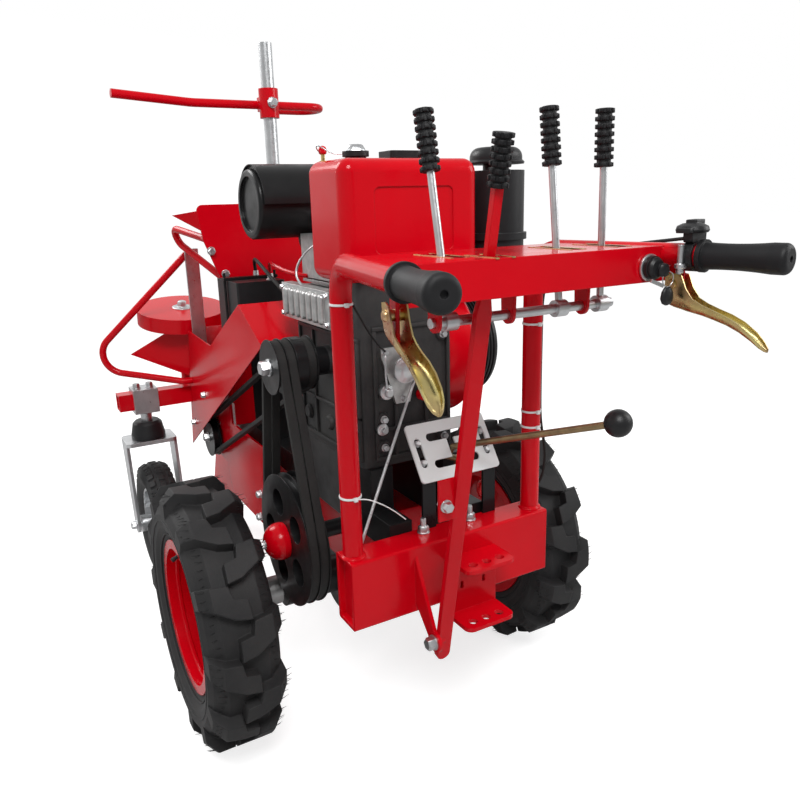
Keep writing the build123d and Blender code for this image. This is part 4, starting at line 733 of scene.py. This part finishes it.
red_trim = bmesh.new()
turned(red_trim, facing(at(*CAP_PLACE), REAR), CAP, 18)
turned(red_trim, facing(at(KNOB_X, KNOB_Y, KNOB_FOOT), UP), KNOB, 20)
for sign in (1, -1):
    turned(red_trim, facing(at(POST_X, sign * POST_Y, beam_top - 1), UP), WELD, 32)
prism(red_trim, Matrix.Translation(at(*TAB_PLACE)), TAB_LOW, TAB_HIGH)
add_piece("red_trim", red_trim, "red_paint", smooth=30)
stem = bmesh.new()
turned(stem, facing(at(KNOB_X, KNOB_Y, STEM_FOOT), UP), STEM, 16)
add_piece("tank_knob_stem", stem, "gold_zinc")

# Bright tops on the tank cap, the cylinder head, the two feeder discs and the battery's posts
TANK_CAP_PLACE = (-167.5, 78, 1226)
TANK_CAP = ((0, 21), (3, 20), (11, 15), (13, 12), (13.5, 1))
HEAD_NUTS = ((40, 60), (40, -60), (-40, 60))
HEAD_NUT_Z = 1070
HEAD_NUT_FLATS = 13
DISC_X = 900
DISC_Y = (178, -178)
ABOVE_DISCS = 1000
DISC_PLATE = ((0, 30), (3, 30), (4.5, 27))
DISC_PLATE_RISE = 3
DISC_FLATS = 24
BATTERY_POST_X = (340, 450)
BATTERY_POST_Y = 80
BATTERY_POST_Z = 949
BATTERY_POST = ((0, 11), (3, 11), (4, 8), (16, 7), (17, 5))

bright = bmesh.new()
turned(bright, facing(at(*TANK_CAP_PLACE), UP), TANK_CAP, 8)
for x, y in HEAD_NUTS:
    bolt(bright, (x, y, HEAD_NUT_Z), UP, HEAD_NUT_FLATS)
covers = surface_of("disc_covers")
for y in DISC_Y:
    hit, slope = covers.ray_cast(at(DISC_X, y, ABOVE_DISCS), DOWN)[:2]
    turned(bright, facing(hit - slope * MM, slope), DISC_PLATE, 32)
    hex_bolt(bright, facing(hit + slope * DISC_PLATE_RISE * MM, slope), DISC_FLATS)
for x in BATTERY_POST_X:
    turned(bright, facing(at(x, BATTERY_POST_Y, BATTERY_POST_Z), UP), BATTERY_POST, 20)
add_piece("bright_tops", bright, "zinc_steel")

# Wires, cables and thin rods: diameter, finish and places
WIRES = {
    "tank_knob_wire": (2.2, "zinc_steel", (
        (-112, 120, 1222), (-116, 134, 1232), (-128, 140, 1240), (-142, 132, 1234), (-150, 118, 1222),
        (-158, 98, 1222))),
    "battery_lead_red": (9, "red_paint", (
        (340, 80, 962), (336, 82, 984), (290, 96, 1000), (230, 112, 996), (160, 108, 985), (104, 96, 980),
        (84, 84, 978))),
    "battery_lead_black": (9, "belt_rubber", (
        (450, 80, 962), (446, 84, 990), (380, 104, 1002), (280, 118, 985), (180, 112, 940), (110, 90, 900),
        (78, 72, 880))),
    "throttle_cable": (6, "belt_rubber", (
        (-650, -292, 1068), (-620, -300, 1064), (-540, -280, 1054), (-440, -254, 1040), (-370, -236, 1010),
        (-346, -229, 960), (-346, -229, 860), (-346, -229, 760), (-346, -231, 690), (-352, -244, 620),
        (-346, -240, 560), (-325, -222, 530), (-318, -208, 511))),
    "throttle_link": (4, "belt_rubber", (
        (-352, 186, 968), (-340, 176, 958), (-300, 130, 905), (-262, 88, 868), (-241, 68, 856))),
    "governor_link": (4, "zinc_steel", (
        (-241, 68, 854), (-249, 74, 842), (-250, 74, 800), (-249, 70, 776))),
    "injector_pipe": (5, "zinc_steel", (
        (20, 84, 1050), (22, 100, 1046), (30, 122, 1020), (34, 132, 996), (22, 134, 976), (10, 128, 966))),
    "governor_rod": (6, "zinc_steel", (
        (-238, -2, 801), (-246, 10, 790), (-300, 140, 568), (-318, 176, 509))),
    "tie_tail": (2.4, "white_paint", (
        (-369, 204, 627), (-372, 190, 628), (-366, 150, 604), (-352, 112, 572), (-344, 92, 552))),
    "key_ring": (2.0, "zinc_steel", (
        (-648, -226, 1018), (-649, -240, 1016), (-648, -244, 1000), (-648, -232, 990), (-648, -220, 996),
        (-649, -216, 1010), (-648, -226, 1018))),
}

for name, (diameter, slot, points) in WIRES.items():
    add_wire(name, points, diameter, slot)

# White ties round the posts: side and height, the band and its lock
TIES = ((-1, 719), (-1, 687), (-1, 897), (1, 627), (1, 972))
TIE_BAND = ((-2, 18.5), (-2, 20.6), (2, 20.6), (2, 18.5))
TIE_LOCK_X = -367
TIE_LOCK_LOW = (-4, -3.5, -3.5)
TIE_LOCK_HIGH = (1, 3.5, 3.5)

ties = bmesh.new()
for sign, z in TIES:
    turned(ties, facing(at(POST_X, sign * POST_Y, z), UP), TIE_BAND, 32, ring=True)
    prism(ties, Matrix.Translation(at(TIE_LOCK_X, sign * POST_Y, z)), TIE_LOCK_LOW, TIE_LOCK_HIGH)
add_piece("post_ties", ties, "white_paint")

# Key switch with its bright rim, spare key, bow and fob
SWITCH = at(-634, -215, 1022)
SWITCH_RIM = ((-13, 18.5), (-13, 22), (-9, 22), (-8, 19), (-8, 18.5))
SWITCH_FACE = ((-2, 18), (4, 17), (8, 13), (9, 3))
SPARE_KEY = at(-647, -222, 994)
SPARE_KEY_TURN = radians(20)
SPARE_KEY_LOW = (-1, 0, -3)
SPARE_KEY_HIGH = (1, 30, 3)
BOW_PLACE = at(-646, -222, 1019)
BOW_SCALE = (0.8, 1.5, 1.0, 1.0)
BOW = ((-11, 2), (-9, 6), (0, 8), (9, 6), (11, 2))
FOB_PLACE = at(-647, -232, 978)
FOB_SCALE = (0.45, 1.0, 1.0, 1.0)
FOB = ((-16, 3), (-13, 10), (-5, 14), (6, 12), (13, 7), (15, 2))
# Throttle: clamp screw, thumb wheel and the lever's two blades, by turn in degrees and corners
CLAMP_SCREW_PLACE = at(-660, -242, 1012)
CLAMP_SCREW = ((0, 3), (3, 6), (9, 6), (10, 9), (16, 9), (17, 5), (46, 5))
THUMB = at(-658, -268, 1084)
THUMB_WHEEL = ((-8, 24), (-4, 26), (2, 24), (6, 16), (8, 4))
THUMB_BLADES = ((15, (-12, 0, -8), (12, 34, 0)), (200, (-9, -8, 4), (9, 30, 12)))

key = bmesh.new()
turned(key, facing(SWITCH, REAR), SWITCH_RIM, 32, ring=True)
spare_key = Matrix.Translation(SPARE_KEY) @ Matrix.Rotation(SPARE_KEY_TURN, 4, "X")
prism(key, spare_key, SPARE_KEY_LOW, SPARE_KEY_HIGH)
turned(key, facing(CLAMP_SCREW_PLACE, UP), CLAMP_SCREW, 18)
add_piece("key_blade", key, "zinc_steel")
controls = bmesh.new()
turned(controls, facing(SWITCH, REAR), SWITCH_FACE, 32)
bow = Matrix.Translation(BOW_PLACE) @ Matrix.Diagonal(BOW_SCALE)
turned(controls, bow @ facing(Vector((0, 0, 0)), UP), BOW, 24)
fob = Matrix.Translation(FOB_PLACE) @ Matrix.Diagonal(FOB_SCALE)
turned(controls, fob, FOB, 24)
turned(controls, facing(THUMB, UP), THUMB_WHEEL, 32)
for turn, low, high in THUMB_BLADES:
    prism(controls, Matrix.Translation(THUMB) @ Matrix.Rotation(radians(turn), 4, "Z"), low, high)
add_piece("hand_controls", controls, "black_plastic", rounding=1.5)

# Brake levers: pressed spoons, by distance back along the handle, lower and upper height, half width
HANDLE_TOP = 1040
HANDLE_SPLAY = radians(11.5)
SPOON = ((283, -80, -30, 13.5), (297, -85, -28, 13.5), (311, -88, -31, 13.5), (320, -90, -52, 13.4),
         (332, -92, -68, 12.9), (348, -95, -76, 12.2), (367, -100, -83, 12.4), (388, -106, -90, 13.4),
         (409, -115, -100, 14.0), (429, -127, -114, 13.2), (441, -136, -125, 11.0), (448, -140, -132, 7.6),
         (452, -141, -136, 4.0))
SPOON_STEPS = 16
SPOON_WALL = 2.2
SPOON_LEAST_HALF = 0.5
# The section lies between a box at 0 and an ellipse at 1
SPOON_ROUND = 0.7
SPOON_PIN_BACK = 296
SPOON_PIN_DROP = 46
SPOON_PIN_HALF = 17
SPOON_PIN = ((0, 6), (3, 8), (31, 8), (34, 6))


def spoon_lever(mesh, sign):
    """A trough whose walls are high at the pivot and low along the blade."""
    corner = at(POST_X, sign * POST_Y, HANDLE_TOP)
    back = Vector((-cos(HANDLE_SPLAY), sign * sin(HANDLE_SPLAY), 0))
    across = UP.cross(back)
    rows = []
    for distance, low, high, half in SPOON:
        row = []
        for wall in (0.0, SPOON_WALL):
            loop = []
            for step in range(SPOON_STEPS + 1):
                angle = pi * (step / SPOON_STEPS - 0.5)
                bend = sin(angle)
                width = max(half - wall, SPOON_LEAST_HALF)
                side = abs(bend) ** SPOON_ROUND * (1 if bend > 0 else -1) * width
                lift = 1 - max(cos(angle), 0.0) ** SPOON_ROUND
                rise = low + wall + (high - low - wall) * lift
                loop.append(mesh.verts.new(corner + (back * distance + across * side + UP * rise) * MM))
            row.append(loop)
        rows.append(row)
    for near, far in zip(rows, rows[1:]):
        for wall in (0, 1):
            for step in range(SPOON_STEPS):
                mesh.faces.new((near[wall][step], near[wall][step + 1], far[wall][step + 1], far[wall][step]))
        for edge in (0, SPOON_STEPS):
            mesh.faces.new((near[0][edge], far[0][edge], far[1][edge], near[1][edge]))
    for row in (rows[0], rows[-1]):
        for step in range(SPOON_STEPS):
            mesh.faces.new((row[0][step], row[0][step + 1], row[1][step + 1], row[1][step]))
    pin = corner + (back * SPOON_PIN_BACK - UP * SPOON_PIN_DROP) * MM
    turned(mesh, facing(pin - across * SPOON_PIN_HALF * MM, across), SPOON_PIN, 18)


spoons = bmesh.new()
spoon_lever(spoons, 1)
spoon_lever(spoons, -1)
spoon_piece = add_piece("brake_spoons", spoons, "gold_zinc", smooth=50.0)
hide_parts("brake_levers")

# A pressed lip round the air filter's hat
HAT_PLACE = (-180, -238, 1203)
HAT_LIP = ((0, 52), (0, 58), (4, 58.5), (8, 54), (8, 52))

hat = bmesh.new()
turned(hat, facing(at(*HAT_PLACE), UP), HAT_LIP, 48, ring=True)
add_piece("filter_hat_lip", hat, "black_plastic")


# Stage: a pale floor, a pale sky and three soft lights

def add_floor():
    """A pale floor that the camera sees as white."""
    floor_mesh = bmesh.new()
    bmesh.ops.create_circle(floor_mesh, cap_ends=True, radius=FLOOR_RADIUS, segments=FLOOR_SEGMENTS)
    mesh = bpy.data.meshes.new("floor")
    floor_mesh.to_mesh(mesh)
    floor_mesh.free()
    floor = bpy.data.objects.new("floor", mesh)
    bpy.context.scene.collection.objects.link(floor)
    material, shader = new_material("floor")
    shader.inputs["Base Color"].default_value = FLOOR_COLOUR
    shader.inputs["Roughness"].default_value = FLOOR_ROUGHNESS
    shader.inputs["Specular IOR Level"].default_value = 0.0
    shader.inputs["Emission Color"].default_value = WHITE
    rays = add_node(material, "ShaderNodeLightPath")
    glow = ramp(material, rays.outputs["Is Camera Ray"], (0.0, grey(0.0)), (1.0, grey(FLOOR_GLOW)))
    link(material, glow, shader.inputs["Emission Strength"])
    mesh.materials.append(material)


def add_sky():
    """A sky that the camera sees as white, and that lights the machine more from ahead."""
    world = bpy.data.worlds.new("sky")
    world.use_nodes = True
    background = world.node_tree.nodes["Background"]
    direction = add_node(world, "ShaderNodeTexCoord")
    parts = add_node(world, "ShaderNodeSeparateXYZ")
    link(world, direction.outputs["Generated"], parts.inputs["Vector"])
    high = ramp(world, parts.outputs["Z"], *[(place, grey(value)) for place, value in SKY_STEPS])
    span = add_node(world, "ShaderNodeMapRange")
    span.inputs["From Min"].default_value = -1.0
    link(world, parts.outputs["X"], span.inputs["Value"])
    ahead = ramp(world, span.outputs["Result"], *[(place, grey(value)) for place, value in SKY_AHEAD])
    product = add_node(world, "ShaderNodeMath", operation="MULTIPLY")
    link(world, high, product.inputs[0])
    link(world, ahead, product.inputs[1])
    rays = add_node(world, "ShaderNodeLightPath")
    seen = add_node(world, "ShaderNodeMath", operation="MAXIMUM")
    link(world, product.outputs["Value"], seen.inputs[0])
    link(world, rays.outputs["Is Camera Ray"], seen.inputs[1])
    link(world, seen.outputs["Value"], background.inputs["Strength"])
    background.inputs["Color"].default_value = WHITE
    bpy.context.scene.world = world


def add_lights():
    """The soft lights, each turned to its aim."""
    for name, (place, aim, size, power) in LIGHTS.items():
        data = bpy.data.lights.new(name, "AREA")
        data.shape = "DISK"
        data.size = size
        data.energy = power
        lamp = bpy.data.objects.new(name, data)
        lamp.location = place
        lamp.rotation_euler = (Vector(aim) - Vector(place)).to_track_quat("-Z", "Y").to_euler()
        bpy.context.scene.collection.objects.link(lamp)


def add_camera():
    """The camera at the photograph's place and angle."""
    data = bpy.data.cameras.new("camera")
    data.sensor_width = SENSOR_WIDTH
    data.lens = FOCAL_PIXELS / IMAGE_SIZE * SENSOR_WIDTH
    data.shift_x = 0.5 - CENTRE_PIXEL / IMAGE_SIZE
    camera = bpy.data.objects.new("camera", data)
    turn = Matrix.Rotation(radians(CAMERA_YAW - 90.0), 4, "Z")
    tip = Matrix.Rotation(radians(90.0 + CAMERA_PITCH), 4, "X")
    roll = Matrix.Rotation(radians(CAMERA_ROLL), 4, "Z")
    camera.matrix_world = Matrix.Translation(CAMERA_PLACE) @ turn @ tip @ roll
    bpy.context.scene.collection.objects.link(camera)
    bpy.context.scene.camera = camera


add_floor()
add_sky()
add_lights()
add_camera()
bpy.context.scene.view_settings.view_transform = "Standard"
